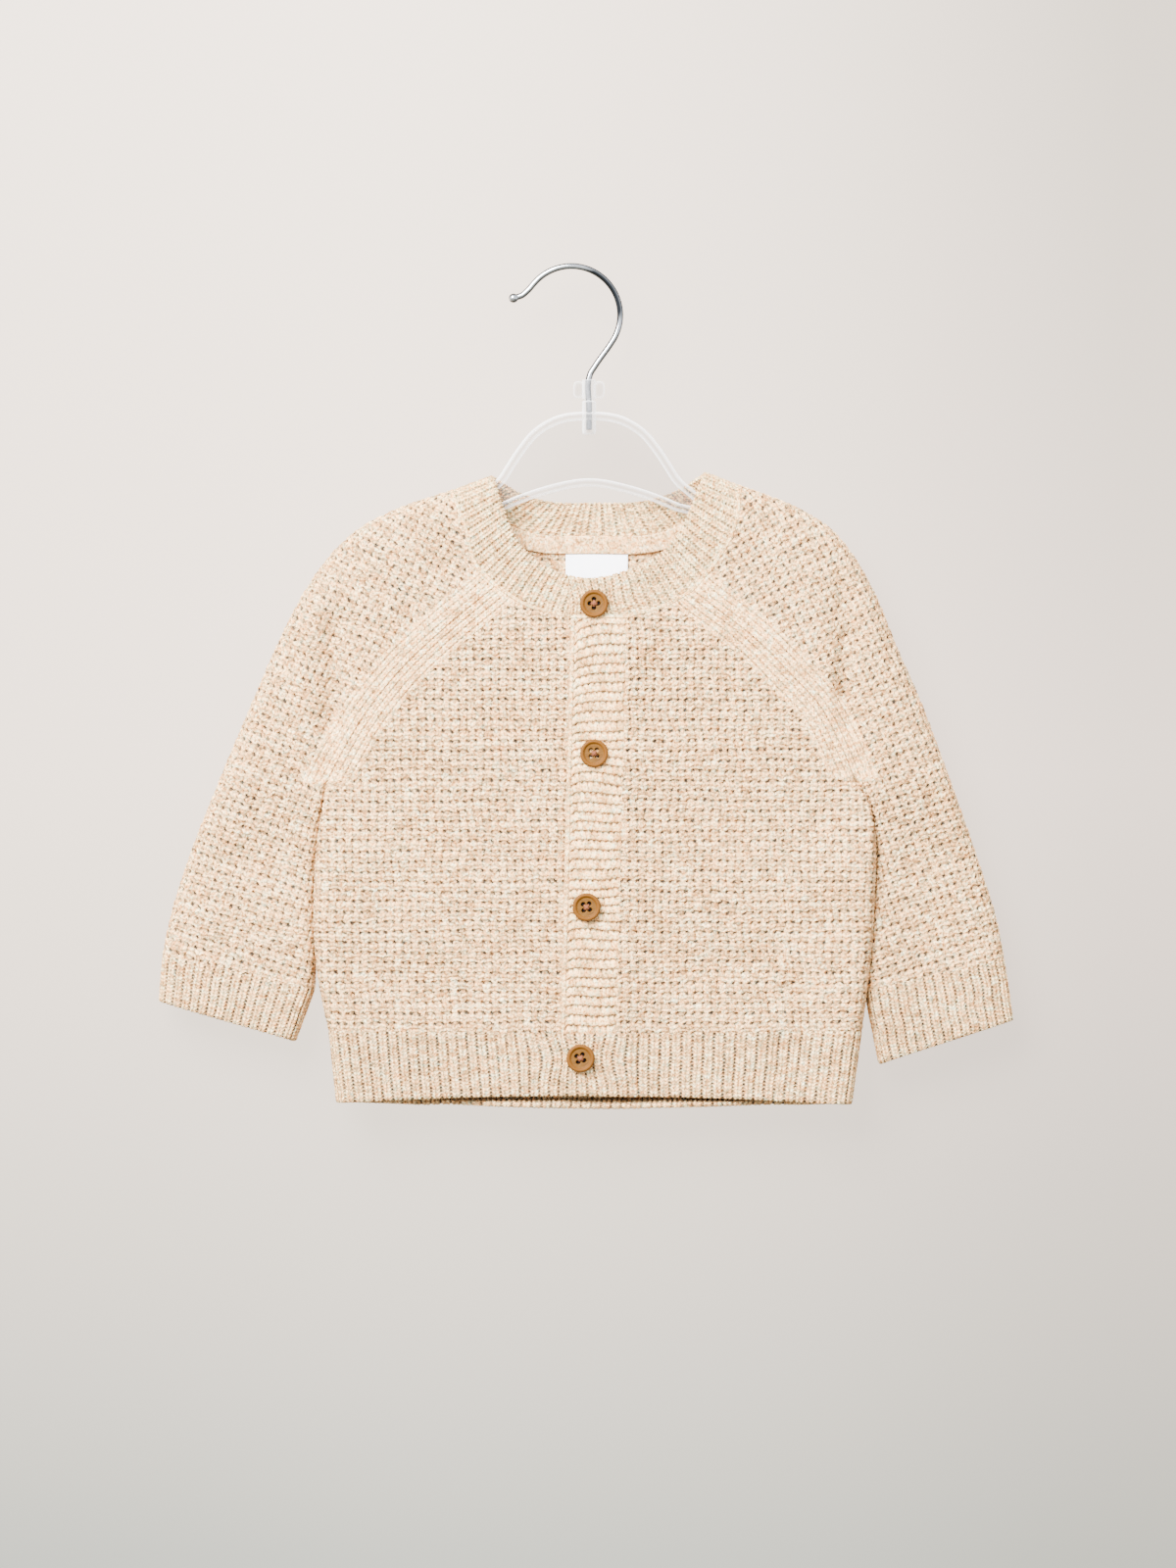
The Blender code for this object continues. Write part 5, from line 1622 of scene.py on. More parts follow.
@dataclass
class Neckband:
    """Ribbed band from under the front overlap, round the neck and back to its top."""

    finish: Material
    plans: dict[str, Array]
    bands: tuple[Array, Array]
    pitch: float = 0.0042
    columns: tuple[int, int, int] = (176, 200, 176)  # on its front, back and front stretch
    rows: int = 18
    height: float = 0.021
    chain: float = 0.0019  # width of the chain along the seam
    chain_stitch: float = 0.0026
    stretch: float = 0.36  # how much of the wales is missing where the back is pulled wide
    stretch_reach: float = 0.040  # distance from the middle of the back over which it is

    def wider(self, plan: Array) -> Array:
        """Wales left out of the count along the middle of the back, where the ribs are wide."""
        ahead, behind, _ = self.columns
        order = np.arange(plan.shape[1])
        reach = self.stretch_reach
        x = np.clip(plan[..., 0], -reach, reach)
        x = np.where(order < ahead, -reach, np.where(order > ahead + behind, reach, x))
        return self.stretch * x / self.pitch

    def plan(self) -> Array:
        """Rows from the seam to the free edge, and columns from under the overlap to its top."""
        fold = Sleeves.columns[0]
        under, over = self.bands
        right, left, back, right_sleeve, left_sleeve = (
            self.plans[name][-1]
            for name in ("right_front", "left_front", "back", "right_sleeve", "left_sleeve")
        )
        seams = (
            (under[-1][::-1], right, right_sleeve[: fold + 1]),
            (right_sleeve[fold:], back, left_sleeve[fold:][::-1]),
            (left_sleeve[: fold + 1][::-1], left[::-1], over[-1][::-1]),
        )
        edges = (RIGHT_HALF.neck_edge, NECK_EDGE_BACK, LEFT_HALF.neck_edge)
        stretches = list(zip(seams, edges, self.columns))
        starts = [along(np.concatenate(seam), even(count)) for seam, _, count in stretches]
        ends = [smooth_line(edge, even(count)) for _, edge, count in stretches]
        start, end = (np.concatenate([s[0], s[1][1:], s[2][1:]]) for s in (starts, ends))
        share = even(self.rows)[:, None, None] * (1 - ROUND / self.height)
        return (1 - share) * start + share * end

    def chain_maps(self, plan: Array) -> Array:
        """Wales of the chain along the seam, counted away from it, and its stitches along it."""
        away = np.linalg.norm(plan - plan[:1], axis=-1) / self.chain
        on = np.broadcast_to(run_length(plan[0]) / self.chain_stitch, away.shape)
        return np.stack([away, on], -1)

    def build(self) -> None:
        """Makes the band, in relief on its inside as well."""
        plan = self.plan()
        ahead, behind, ahead_left = self.columns
        fronts = -np.ones(ahead), -np.ones(ahead_left)
        on_top = np.arange(plan.shape[1]) > ahead + behind
        cloth = Cloth(
            name="neckband_knit",
            plan=plan,
            face=np.concatenate([fronts[0], [0], np.ones(behind - 1), [0], fronts[1]]),
            distance=edge_distance(plan, *ARM_EDGES),
            stitch=Stitch.RIB,
            pitch=(self.pitch, RIB_COURSE),
            raglan=self.chain_maps(plan),
            relief=RIB_RELIEF,
            lift=overlap_lift(plan) * on_top,
            drawn=drawn_to(plan, BUTTONS[0], -1, self.pitch) * on_top - self.wider(plan),
            free=(Border.LAST_ROW, Border.FIRST_COLUMN, Border.LAST_COLUMN),
            sewn=(Border.FIRST_ROW,),
            inner_step=1,
        )
        made = cloth.build()
        hang(made, self.finish, "neckband")


@dataclass
class TapeAndLabel:
    """Jersey tape over the back neck seam, inside, and the bare satin label that hangs from it."""

    tape_finish: Material
    label_finish: Material
    back_top: Array
    pitch: tuple[float, float] = (0.0016, 0.0012)
    tape_height: float = 0.0085
    tape_drop: float = 0.45  # share of the tape that lies below the seam
    tape_thick: float = 0.0009
    tape_relief: float = 0.0005
    label_size: tuple[float, float] = (0.030, 0.016)
    label_x: float = 0.0037
    label_thick: float = 0.0006

    def build(self) -> None:
        line = along(self.back_top, np.linspace(0.03, 0.97, 141))
        share = (even(12) - self.tape_drop)[:, None, None]
        plan = line + share * np.array([0, self.tape_height])
        tape = self.make("neck_tape", plan, self.tape_thick, self.tape_relief)
        hang(tape, self.tape_finish, "neck_tape")
        width, height = self.label_size
        middle = len(self.back_top) // 2
        top = self.back_top[middle, 1] - self.tape_drop * self.tape_height - SEAM_GAP
        x, z = np.meshgrid(self.label_x + width * (even(40) - 0.5), top - height * even(20)[::-1])
        label = self.make("label", np.stack([x, z], -1), self.label_thick, 0.0)
        hang(label, self.label_finish, "label")

    def make(self, name: str, plan: Array, thick: float, relief: float) -> Object:
        """Makes a strip that lies on the inside of the back.

        Args:
            name: Name of its solid.
            plan: Its plan.
            thick: Its thickness.
            relief: Height of its stitches.

        Returns:
            The piece.
        """
        cloth = Cloth(
            name=f"{name}_piece",
            plan=plan,
            face=np.ones(plan.shape[1]),
            distance=edge_distance(plan, *ARM_EDGES),
            stitch=Stitch.JERSEY,
            pitch=self.pitch,
            relief=relief,
            under=CLOTH + SEAM_GAP,
            thick=thick,
            inner_step=1,
        )
        return cloth.build()


# ---------------------------------------------------------------- buttons
def tube(path: Array, radii: Array, segments: int) -> tuple[Array, Faces]:
    """A closed round tube along a path.

    Each ring lies square to the path: its points are the path's point plus the radius times the
    cosine of an angle along one normal and its sine along the other.

    Args:
        path: Points along the middle.
        radii: Radius at each of them.
        segments: Points round each ring.

    Returns:
        The points, and the faces of its skin and of its ends.
    """
    ahead = np.gradient(path, axis=0)
    ahead /= np.linalg.norm(ahead, axis=1, keepdims=True)
    side = np.empty_like(path)
    previous = np.array([0.0, 1.0, 0.0] if abs(ahead[0, 1]) < 0.9 else [1.0, 0.0, 0.0])
    for k, direction in enumerate(ahead):
        previous = previous - direction * (previous @ direction)
        previous = previous / np.linalg.norm(previous)
        side[k] = previous
    cosine, sine_ = circle(segments).T[..., None]
    ring = cosine * side[:, None] + sine_ * np.cross(ahead, side)[:, None]
    points = (path[:, None] + radii[:, None, None] * ring).reshape(-1, 3)
    points = np.concatenate([points, path[:1], path[-1:]])
    return points, ring_faces(len(path), segments)


def joined(parts: Sequence[tuple[Array, Faces]]) -> tuple[Array, Faces]:
    """Puts the points and the faces of several closed skins together.

    Args:
        parts: Points and faces of each.

    Returns:
        All points and faces.
    """
    starts = np.cumsum([0] + [len(points) for points, _ in parts[:-1]])
    faces = [np.concatenate([part[1][k] + n for part, n in zip(parts, starts)]) for k in (0, 1)]
    return np.concatenate([points for points, _ in parts]), faces


@dataclass
class Buttons:
    """Four turned wooden buttons, sewn on through four holes."""

    wood: Material
    thread: Material
    radius: float = 0.00675
    thick: float = 0.0032
    hole_radius: float = 0.00086
    hole_ring: float = 0.00205
    hole_depth: float = 0.0019
    rim_inside: float = 0.64  # share of the radius where the recess begins
    rim_outside: float = 0.86  # and where the face begins to round off
    recess: float = 0.0008
    segments: int = 96
    rings: tuple[int, int] = (44, 14)  # on the face and on its rim
    thread_radius: float = 0.00026
    thread_ends: tuple[float, float] = (0.14, 0.86)  # along the way from hole to hole
    thread_dip: float = 0.0012  # how deep a thread starts in a hole
    thread_rise: float = 0.0017  # how far it rises from there
    thread_over: float = 0.0004  # how much further the second pair rises

    def build(self) -> None:
        """Makes each button, with its threads as a piece of their own."""
        for number, button in enumerate(BUTTONS, 1):
            made = self.button(f"wooden_button_{number}", button)
            hang(made, self.wood, f"button_{number}")
            threads = self.threads(f"button_thread_{number}", button)
            add_to_root(threads, self.thread)

    def seat(self, button: Button) -> float:
        """y of a button's back: a gap in front of the foremost point of the layer under it."""
        heights = button.z + self.radius * np.array([-1, 0, 1])
        plan = np.stack([np.full(3, button.x), heights], -1)[None]
        return -float(FORM.half_depth(plan).max()) - (CLOTH + SEAM_GAP) - SEAM_GAP

    def holes(self, button: Button) -> Array:
        """Places of the four holes' middles, about the button's own."""
        angle = math.radians(button.turn) + math.pi / 4 + math.pi / 2 * np.arange(4)
        return self.hole_ring * np.stack([np.cos(angle), np.sin(angle)], -1)

    def face_height(self, x: Array, z: Array, button: Button) -> Array:
        """Height of the face: a rim round a flat recess, and four holes with soft lips.

        The rim rounds off as 1 - (1 - t ^ 2.4) ^ 1/2, with t from 0 where that begins to 1 at the
        edge. Each hole goes down over a narrow step of smooth slope.

        Args:
            x: Places about the middle.
            z: Places about the middle.
            button: The button.

        Returns:
            The height over its back at each place.
        """
        r = np.hypot(x, z) / self.radius
        height = self.thick - self.recess * (1 - ease((r - self.rim_inside) / 0.17))
        t = np.clip((r - self.rim_outside) / (1 - self.rim_outside), 0, 1)
        height = height - 0.54 * self.thick * (1 - np.sqrt(1 - t**2.4))
        for hole_x, hole_z in self.holes(button):
            away = np.hypot(x - hole_x, z - hole_z)
            height = height - self.hole_depth * (1 - ease((away - self.hole_radius) / 0.00030))
            height = height - 0.00012 * np.exp(-((away - self.hole_radius) / 0.00045) ** 2)
        return height

    def button(self, name: str, button: Button) -> Object:
        """Makes one button: rings of points over its face, then down its side to its back."""
        inside, rim = self.rings
        r = np.concatenate([np.linspace(0.02, 0.80, inside), np.linspace(0.82, 1.0, rim)])
        around = circle(self.segments)
        x, z = (self.radius * r[:, None] * way for way in around.T)
        face = np.stack([x, -self.face_height(x, z, button), z], -1)
        # radius and depth of the rings below the face, as shares of the whole
        side = np.array([(0.995, 0.30), (0.96, 0.18), (0.88, 0.06), (0.72, 0.0), (0.02, 0.0)])
        x, z = (self.radius * side[:, :1] * way for way in around.T)
        lower = np.stack([x, np.broadcast_to(-self.thick * side[:, 1:], x.shape), z], -1)
        rings = np.concatenate([face, lower])
        top = -self.face_height(np.zeros(1), np.zeros(1), button)[0]
        points = np.concatenate([rings.reshape(-1, 3), [[0, top, 0], [0, 0, 0]]])
        turn = math.radians(button.turn)
        u = (points[:, 0] * math.cos(turn) + points[:, 2] * math.sin(turn)) / self.radius
        v = (points[:, 2] * math.cos(turn) - points[:, 0] * math.sin(turn)) / self.radius
        points = points + (button.x, self.seat(button), button.z)
        skin, ends = ring_faces(len(rings), self.segments)
        faces = skin[:, [0, 3, 2, 1]], ends[:, [0, 2, 1]]  # seen from the front
        return mesh_object(name, points, faces, {"disc": np.stack([u, v], -1)})

    def threads(self, name: str, button: Button) -> Object:
        """Makes the threads: two strands side by side from each hole to the one across."""
        top = self.seat(button) - self.thick + self.recess
        holes = self.holes(button)
        strands = []
        for first, second in ((0, 2), (1, 3)):
            along_stitch = holes[second] - holes[first]
            square = np.array([-along_stitch[1], along_stitch[0]]) / np.linalg.norm(along_stitch)
            rise = self.thread_rise + self.thread_over * first
            for offset in (-self.thread_radius, self.thread_radius):
                t = np.linspace(*self.thread_ends, 17)[:, None]
                flat = holes[first] + t * along_stitch + offset * square
                arch = np.sin(np.pi * (t[:, 0] - 0.12) / 0.76) ** 0.4
                y = top + self.thread_dip - rise * arch
                path = np.stack([flat[:, 0] + button.x, y, flat[:, 1] + button.z], -1)
                strands.append(tube(path, np.full(len(path), self.thread_radius), 10))
        return mesh_object(name, *joined(strands))


# ---------------------------------------------------------------- hanger and hook
def moved_in(line: Array, distance: Array | float) -> Array:
    """Moves a line square to itself, down towards the inside of the garment.

    Args:
        line: Points of the line.
        distance: How far, also as one distance for each point.

    Returns:
        The moved points.
    """
    tangent = np.gradient(line, axis=0)
    square = np.stack([tangent[:, 1], -tangent[:, 0]], -1)
    square *= np.where(square[:, 1:] > 0, -1, 1)
    return line + distance * square / np.linalg.norm(square, axis=-1, keepdims=True)


def drawn_out(value: Array) -> Array:
    """A sine drawn out towards 1, by which a ball turns into a block with well-rounded edges."""
    return np.sign(value) * np.abs(value) ** 0.62


def pillow(
    centre: tuple[float, float, float], half: tuple[float, float, float]
) -> tuple[Array, Faces]:
    """A block with well-rounded edges: a ball whose sines and cosines are drawn out.

    Args:
        centre: Its middle.
        half: Half its width, depth and height.

    Returns:
        Its points and faces.
    """
    rows, segments = 17, 32
    turns, rise = circle(segments), np.linspace(-1, 1, rows + 2)[1:-1, None] * math.pi / 2
    flat, up = drawn_out(np.cos(rise)), drawn_out(np.sin(rise))
    x, y = (flat * drawn_out(way) for way in turns.T)
    ball = np.stack([x, y, np.broadcast_to(up, x.shape)], -1).reshape(-1, 3)
    points = np.concatenate([ball, [[0, 0, -1], [0, 0, 1]]]) * half + centre
    return points, ring_faces(rows, segments)


@dataclass
class Hanger:
    """Clear moulded hanger: a rimmed plate with a socket, a collar, and the plated wire hook."""

    clear: Material
    chrome: Material
    arm_clear: float = 0.0005  # between an arm and the cloth that rests on it
    arm_width: tuple[float, float] = (0.0161, 0.0105)  # beside the arch and at the tip
    arm_start: float = 0.0640
    arm_reach: tuple[float, float] = (0.1083, 0.1123)  # right and left
    rim_half: float = 0.0025  # half the thickness of the rim
    plate_half: float = 0.0011
    rim_round: float = 0.0016
    rim_width: float = 0.0040
    socket: float = 0.0033
    socket_z: tuple[float, float] = (-0.0774, -0.0611)
    collar_z: tuple[float, float] = (-0.0606, -0.0511)
    ear: tuple[float, float, float] = (0.0025, 0.0013, 0.0040)
    ear_offset: float = 0.0050
    wire: float = 0.0015
    round: float = 0.0235  # radius of the hook's round
    centre: tuple[float, float] = (-0.0085, -0.0199)
    foot: Line = ((0, -0.0752), (0, -0.0640), (0, -0.0502), (0.0006, -0.0483), (0.0028, -0.0447))
    tip: Line = ((-0.0297, -0.0084), (-0.0326, -0.0107), (-0.0345, -0.0113))
    ball: float = 0.0023
    loop_points: int = 560
    round_segments: tuple[int, int] = (40, 28)  # of the socket and of the hook

    def build(self) -> None:
        """Makes the plate, the socket, the collar and the hook."""
        self.plate()
        self.clear_parts()
        self.hook()

    def outline(self) -> Array:
        """Even places along the plate's closed outline, its arms along the shoulders."""
        halves = []
        for half, reach in zip(HALVES[::-1], self.arm_reach[::-1]):
            sign = half.side.sign
            fold = np.concatenate([half.shoulder[:1], smooth_line(half.arm_fold, even(60))])
            top = moved_in(fold, CLOTH + self.arm_clear)
            top = top[(np.abs(top[:, 0]) < reach) & (np.abs(top[:, 0]) > self.arm_start)]
            width = np.linspace(*self.arm_width, 30)[:, None]
            lower = moved_in(along(top, np.linspace(0.02, 1, 30)), width)
            centre, radius = (top[-1] + lower[-1]) / 2, np.linalg.norm(top[-1] - lower[-1]) / 2
            start = math.atan2(top[-1, 1] - lower[-1, 1], top[-1, 0] - lower[-1, 0])
            angles = start - sign * np.pi * even(16)[1:-1]
            tip = centre + radius * np.stack([np.cos(angles), np.sin(angles)], -1)
            lines = np.array(DOME), np.array(ARCH)
            both = (np.concatenate([line[:0:-1] * (-1, 1), line]) for line in lines)
            dome, arch = (smooth_line(line, even(80))[40:] * (sign, 1) for line in both)
            halves.append(np.concatenate([dome, top, tip, lower[::-1], arch[::-1]]))
        left, right = halves
        loop = np.concatenate([left, right[-2:0:-1], left[:1]])
        loop = along(loop, even(self.loop_points))[:-1]
        for _ in range(3):
            loop = (np.roll(loop, 1, axis=0) + loop + np.roll(loop, -1, axis=0)) / 3
        return loop

    def plate(self) -> None:
        """Makes the plate: rings inwards from its outline over the rim, on both faces.

        Across the rim the half thickness is a quarter of an ellipse from the edge, times a bead
        that is half an ellipse over the web.
        """
        loop = self.outline()
        tangent = np.roll(loop, -1, axis=0) - np.roll(loop, 1, axis=0)
        inward = np.stack([tangent[:, 1], -tangent[:, 0]], -1)
        inward /= np.linalg.norm(inward, axis=1, keepdims=True)
        shares = (0.02, 0.08, 0.18, 0.32, 0.48, 0.64, 0.78, 0.88, 0.95, 0.99, 1.02)
        reach = self.rim_width * np.array(shares)
        edge = 1 - np.clip(1 - reach / self.rim_round, 0, 1) ** 2
        bead = np.sqrt(np.clip(1 - (2 * reach / self.rim_width - 1) ** 2, 0, 1))
        half = (self.plate_half + (self.rim_half - self.plate_half) * bead) * np.sqrt(edge)
        rings = loop + reach[:, None, None] * inward
        count, around = len(reach), len(loop)
        points = [np.stack([loop[:, 0], np.zeros(around), loop[:, 1]], -1)[None]]
        for sign in (-1, 1):
            y = np.broadcast_to(sign * half[:, None], rings.shape[:2])
            points.append(np.stack([rings[..., 0], y, rings[..., 1]], -1))
        points = np.concatenate(points).reshape(-1, 3)
        rims, lids = [], []
        for start, order in ((1, 1), (1 + count, -1)):
            index = np.arange(start * around, (start + count) * around).reshape(count, around)
            index = np.concatenate([np.arange(around)[None], index])
            rims.append(ring_quads(index)[:, ::order])
            lids.append(index[-1:, ::order])
        faces = np.concatenate(rims), np.concatenate(lids)
        hard = np.zeros(len(points), bool)
        hard[faces[1]] = True
        made = mesh_object("clear_plate", points, faces, None, hard)
        hang(made, self.clear, "hanger_body")

    def rod(self, low: float, high: float, round_off: float) -> tuple[Array, Faces]:
        """An upright rod of the socket's radius, its two ends rounded off.

        Args:
            low: Height of its lower end.
            high: Height of its upper end.
            round_off: Radius of their edges.

        Returns:
            Its points and faces.
        """
        turn = np.radians(90) * even(6)
        ease_in = round_off * (1 - np.cos(turn))
        z = np.concatenate([low + ease_in, high - ease_in[::-1]])
        cut = round_off * (1 - np.sin(turn))
        radii = self.socket - np.concatenate([cut, cut[::-1]])
        return tube(np.stack([0 * z, 0 * z, z], -1), radii, self.round_segments[0])

    def clear_parts(self) -> None:
        """Makes the socket for the hook's foot, and the collar with its two ears."""
        socket = mesh_object("clear_socket", *self.rod(*self.socket_z, 0.0012))
        add_to_root(socket, self.clear)
        low, high = self.collar_z
        ears = [((sign * self.ear_offset, 0, (low + high) / 2), self.ear) for sign in (-1, 1)]
        parts = [self.rod(low, high, 0.0005), *(pillow(*ear) for ear in ears)]
        collar = mesh_object("clear_collar", *joined(parts))
        hang(collar, self.clear, "hook_collar")

    def hook(self) -> None:
        """Makes the hook: foot, bend, straight, round and turned-out tip with a ball at its end."""
        angles = np.radians(np.linspace(-35, 139, 30))
        arc = np.array(self.centre) + self.round * np.stack([np.cos(angles), np.sin(angles)], -1)
        route = smooth_line([*self.foot, *arc, *self.tip], even(220))
        ahead = (route[-1] - route[-2]) / np.linalg.norm(route[-1] - route[-2])
        steps = 1 - np.cos(np.linspace(0.19, 1, 15) * math.pi)
        ball = route[-1] + ahead * self.ball * (steps[:, None] - steps[0])
        ball_radii = self.ball * np.sqrt(np.clip(1 - (steps - 1) ** 2, 0, 1))
        path = np.concatenate([route, ball])
        radii = np.concatenate([np.full(len(route), self.wire), np.maximum(ball_radii, 0.00005)])
        path = np.stack([path[:, 0], np.zeros(len(path)), path[:, 1]], -1)
        keep = np.concatenate([[True], np.linalg.norm(np.diff(path, axis=0), axis=1) > 1e-6])
        segments = self.round_segments[1]
        points, faces = tube(path[keep], radii[keep], segments)
        around = np.tile(circle(segments), (int(keep.sum()), 1))
        around = np.concatenate([around, [[-1, 0], [-1, 0]]])
        made = mesh_object("wire_hook", points, faces, {"around": around})
        hang(made, self.chrome, "hanger_hook")


# ---------------------------------------------------------------- studio
@dataclass
class Studio:
    """Camera, soft lights and a plain pale cove, whose wall lets the back light through."""

    backdrop: Material
    lens: float = 200.0  # millimetres, on a sensor 36 mm long
    view: tuple[float, float] = (0.564, 0.752)  # width and height of what the camera sees
    middle: tuple[float, float] = (-0.0005, -0.2455)
    wall_y: float = 0.022
    floor_z: float = -1.05
    bend: float = 0.30
    reach: tuple[float, float, float] = (3.0, 3.2, 1.4)  # sideways, forwards and up
    sky: Colour = (0.95, 0.96, 1.0)
    sky_strength: float = 3.5

    def build(self) -> None:
        """Makes the cove, the camera, the lights and the sky."""
        self.cove()
        self.camera()
        self.light("key_light", (-1.10, -2.10, 1.30), 1.8, 740.0, (1.0, 0.985, 0.965))
        self.light("back_light", (0.9, 2.2, 0.9), 1.6, 520.0, (1.0, 0.99, 0.975))
        world = bpy.data.worlds.new("pale_sky")
        bpy.context.scene.world = world
        world.use_nodes = True
        sky = world.node_tree.nodes["Background"]
        sky.inputs["Color"].default_value = (*self.sky, 1)
        sky.inputs["Strength"].default_value = self.sky_strength

    def cove(self) -> None:
        """A wall close behind, and a floor that comes down from it on a quarter circle."""
        angle = np.linspace(0, np.pi / 2, 24)
        y = self.wall_y - self.bend * (1 - np.cos(angle))
        z = self.floor_z + self.bend * (1 - np.sin(angle))
        side, front, top = self.reach
        ends = [[self.wall_y, top]], [[-front, self.floor_z]]
        profile = np.concatenate([ends[0], np.stack([y, z], -1), ends[1]])
        for name, part in (("pale_wall", profile[:2]), ("pale_floor", profile[1:])):
            x = np.repeat([[-side, 0, side]], len(part), 0)
            points = np.stack([x, np.repeat(part[:, :1], 3, 1), np.repeat(part[:, 1:], 3, 1)], -1)
            faces = grid_quads(len(part), 3)[:, ::-1]
            made = mesh_object(name, points.reshape(-1, 3), (faces,))
            made.data.materials.append(self.backdrop)
            made.visible_shadow = name != "pale_wall"

    def camera(self) -> None:
        """Looks straight at the garment's middle from as far as its lens needs for the view."""
        data = bpy.data.cameras.new("camera")
        data.lens = self.lens
        data.sensor_width = 36.0
        camera = bpy.data.objects.new("camera", data)
        distance = self.view[1] * self.lens / data.sensor_width
        camera.location = (self.middle[0], -distance - 0.012, self.middle[1])
        camera.rotation_euler = (math.pi / 2, 0, 0)
        bpy.context.scene.collection.objects.link(camera)
        bpy.context.scene.camera = camera

    def light(
        self, name: str, place: tuple[float, float, float], side: float, watts: float, tint: Colour
    ) -> None:
        """Makes a square area light that faces the garment.

        Args:
            name: Its name.
            place: Where it stands.
            side: Length of its sides.
            watts: Its power.
            tint: Its colour.
        """
        data = bpy.data.lights.new(name, "AREA")
        data.shape = "SQUARE"
        data.size = side
        data.energy = watts
        data.color = tint
        light = bpy.data.objects.new(name, data)
        light.location = place
        aim = Vector((0, 0, self.middle[1])) - light.location
        light.rotation_euler = aim.to_track_quat("-Z", "Y").to_euler()
        bpy.context.scene.collection.objects.link(light)


# ---------------------------------------------------------------- finishes
WHITE = (1.0, 1.0, 1.0)


@dataclass(frozen=True)
class KnitFinish:
    """Cream and oat melange yarn in one stitch, with painted shade between the stitches."""

    name: str
    stitch: Stitch
    bump: float = 0.0009
    gain: float = 1.0
    depth: float = 1.08  # how dark the painted shade between the stitches gets
    wander: tuple[float, float] = (0.80, 0.95)  # of a wale and of a course
    light: Colour = (0.86, 0.53, 0.245)
    oat: Colour = (0.66, 0.35, 0.135)
    pale: Colour = (0.98, 0.73, 0.43)
    # painted shade: the colour that the hollows between the stitches are darkened towards
    groove: Colour = (0.055, 0.043, 0.032)

    def colour(self, g: Graph, piece: tuple[Value, Value], height: Value) -> Input:
        """Colour of the yarn: tones by course and in clouds, painted shade in the grooves between
        stitches, hues and flecks.

        Args:
            g: The material's graph.
            piece: Wales and courses.
            height: Height of the stitches.

        Returns:
            The colour.
        """
        streak = g.noise(g.vector(piece[0] * 0.42, whole(piece[1]) * 3.7), 1.0, 2.0, 0.6)
        cloud = g.noise(g.place(), 420.0, 3.0, 0.7)
        tones = (self.oat, self.light, self.light, self.pale)
        tones = [tuple(min(self.gain * c, 0.98) for c in tone) for tone in tones]
        tone = g.ramp(streak * 0.25 + cloud * 0.75, list(zip((0.38, 0.48, 0.53, 0.62), tones)))
        # painted shade: darker where the stitches are lower, towards the groove colour, broken up
        # unevenly by noise
        painted_shade_breakup = most(least(0.15 + 1.7 * g.noise(g.place(), 330.0, 2.0, 0.6), 0.45), 1.25)
        shade = most(power(least(1 - height, 0.0), 1.08) * self.depth * painted_shade_breakup, 1.0)
        hue = g.noise(g.place(), 720.0, 1.0, 0.5)
        peach, grey = (1.0, 0.83, 0.70), (0.76, 0.90, 1.02)
        hues = g.ramp(hue, ((0.38, peach), (0.48, WHITE), (0.54, WHITE), (0.64, grey)))
        single = g.noise(g.vector(whole(piece[0]) * 1.73, whole(piece[1]) * 2.31), 1.9, 0.0, 0.5)
        lone = g.ramp(single, ((0.34, (0.66, 0.62, 0.58)), (0.58, WHITE)))
        return g.tinted(g.tinted(g.mix(shade, tone, self.groove), hues), lone)

    def material(self) -> Material:
        """Builds the material: the yarn's colour, its fibres and raised stitches."""
        g = Graph(self.name)
        piece, seam = g.uv("stitch"), g.uv("raglan")
        wander = g.vector(piece[0] * 0.9, piece[1] * 0.9)
        piece = tuple(
            at + self.wander[k] * (g.noise(wander, 1.0 + 0.37 * k, 2.0, 0.7) - 0.5)
            for k, at in enumerate(piece)
        )
        height = knit_height(self.stitch, piece, seam)
        fibre = g.noise(g.place(0.8), 1150.0, 2.0, 0.6)
        flecks = g.ramp(fibre, ((0.37, (0.40, 0.37, 0.34)), (0.53, WHITE)))
        colour = g.tinted(self.colour(g, piece, height), flecks)
        g.bump(height * 0.85 + fibre * 0.15, self.bump)
        g.set(Base_Color=colour, Roughness=1.0, Specular_IOR_Level=0.1)
        return g.material


@dataclass(frozen=True)
class WoodFinish:
    """Pale wood with a darker stained rim, and painted shade in its four holes."""

    name: str = "turned_wood"
    pale: Colour = (0.100, 0.044, 0.0053)
    warm: Colour = (0.064, 0.024, 0.0024)
    rim: Colour = (0.096, 0.034, 0.0024)
    # painted shade: near black inside the holes
    hole: Colour = (0.010, 0.004, 0.002)

    def material(self) -> Material:
        """Builds the material: grain along the button's face, stain where the rim rises, painted
        shade in the holes.
        """
        g = Graph(self.name)
        u, v = g.uv("disc")
        grain = g.noise(g.vector(u * 0.9, v * 7.0), 1.6, 4.0, 0.6)
        pores = g.noise(g.vector(u * 3.0, v * 26.0), 2.0, 2.0, 0.5)
        colour = g.ramp(grain, ((0.35, self.warm), (0.62, self.pale)))
        radius = g.math("SQRT", u * u + v * v)
        stain = step_up((radius + grain * 0.14 - 0.66) / 0.16)
        worn = step_up((radius - 0.93) / 0.08) * 0.35
        colour = g.mix(stain * 0.85 - worn * 0.5, colour, self.rim)
        dark = g.ramp(pores, ((0.36, (0.80, 0.76, 0.72)), (0.52, WHITE)))
        colour = g.tinted(colour, dark)
        # painted shade: each hole is darkened to near black
        ring = 0.7071 * Buttons.hole_ring / Buttons.radius
        off_u, off_v = size(u) - ring, size(v) - ring
        away = g.math("SQRT", off_u * off_u + off_v * off_v)
        hole = Buttons.hole_radius / Buttons.radius
        colour = g.mix(1 - step_up((away - 0.85 * hole) / (0.35 * hole)), colour, self.hole)
        g.bump(pores * 0.5 + grain * 0.5, 0.00006)
        g.set(Base_Color=colour, Roughness=0.44 + grain * 0.18, Specular_IOR_Level=0.10)
        return g.material


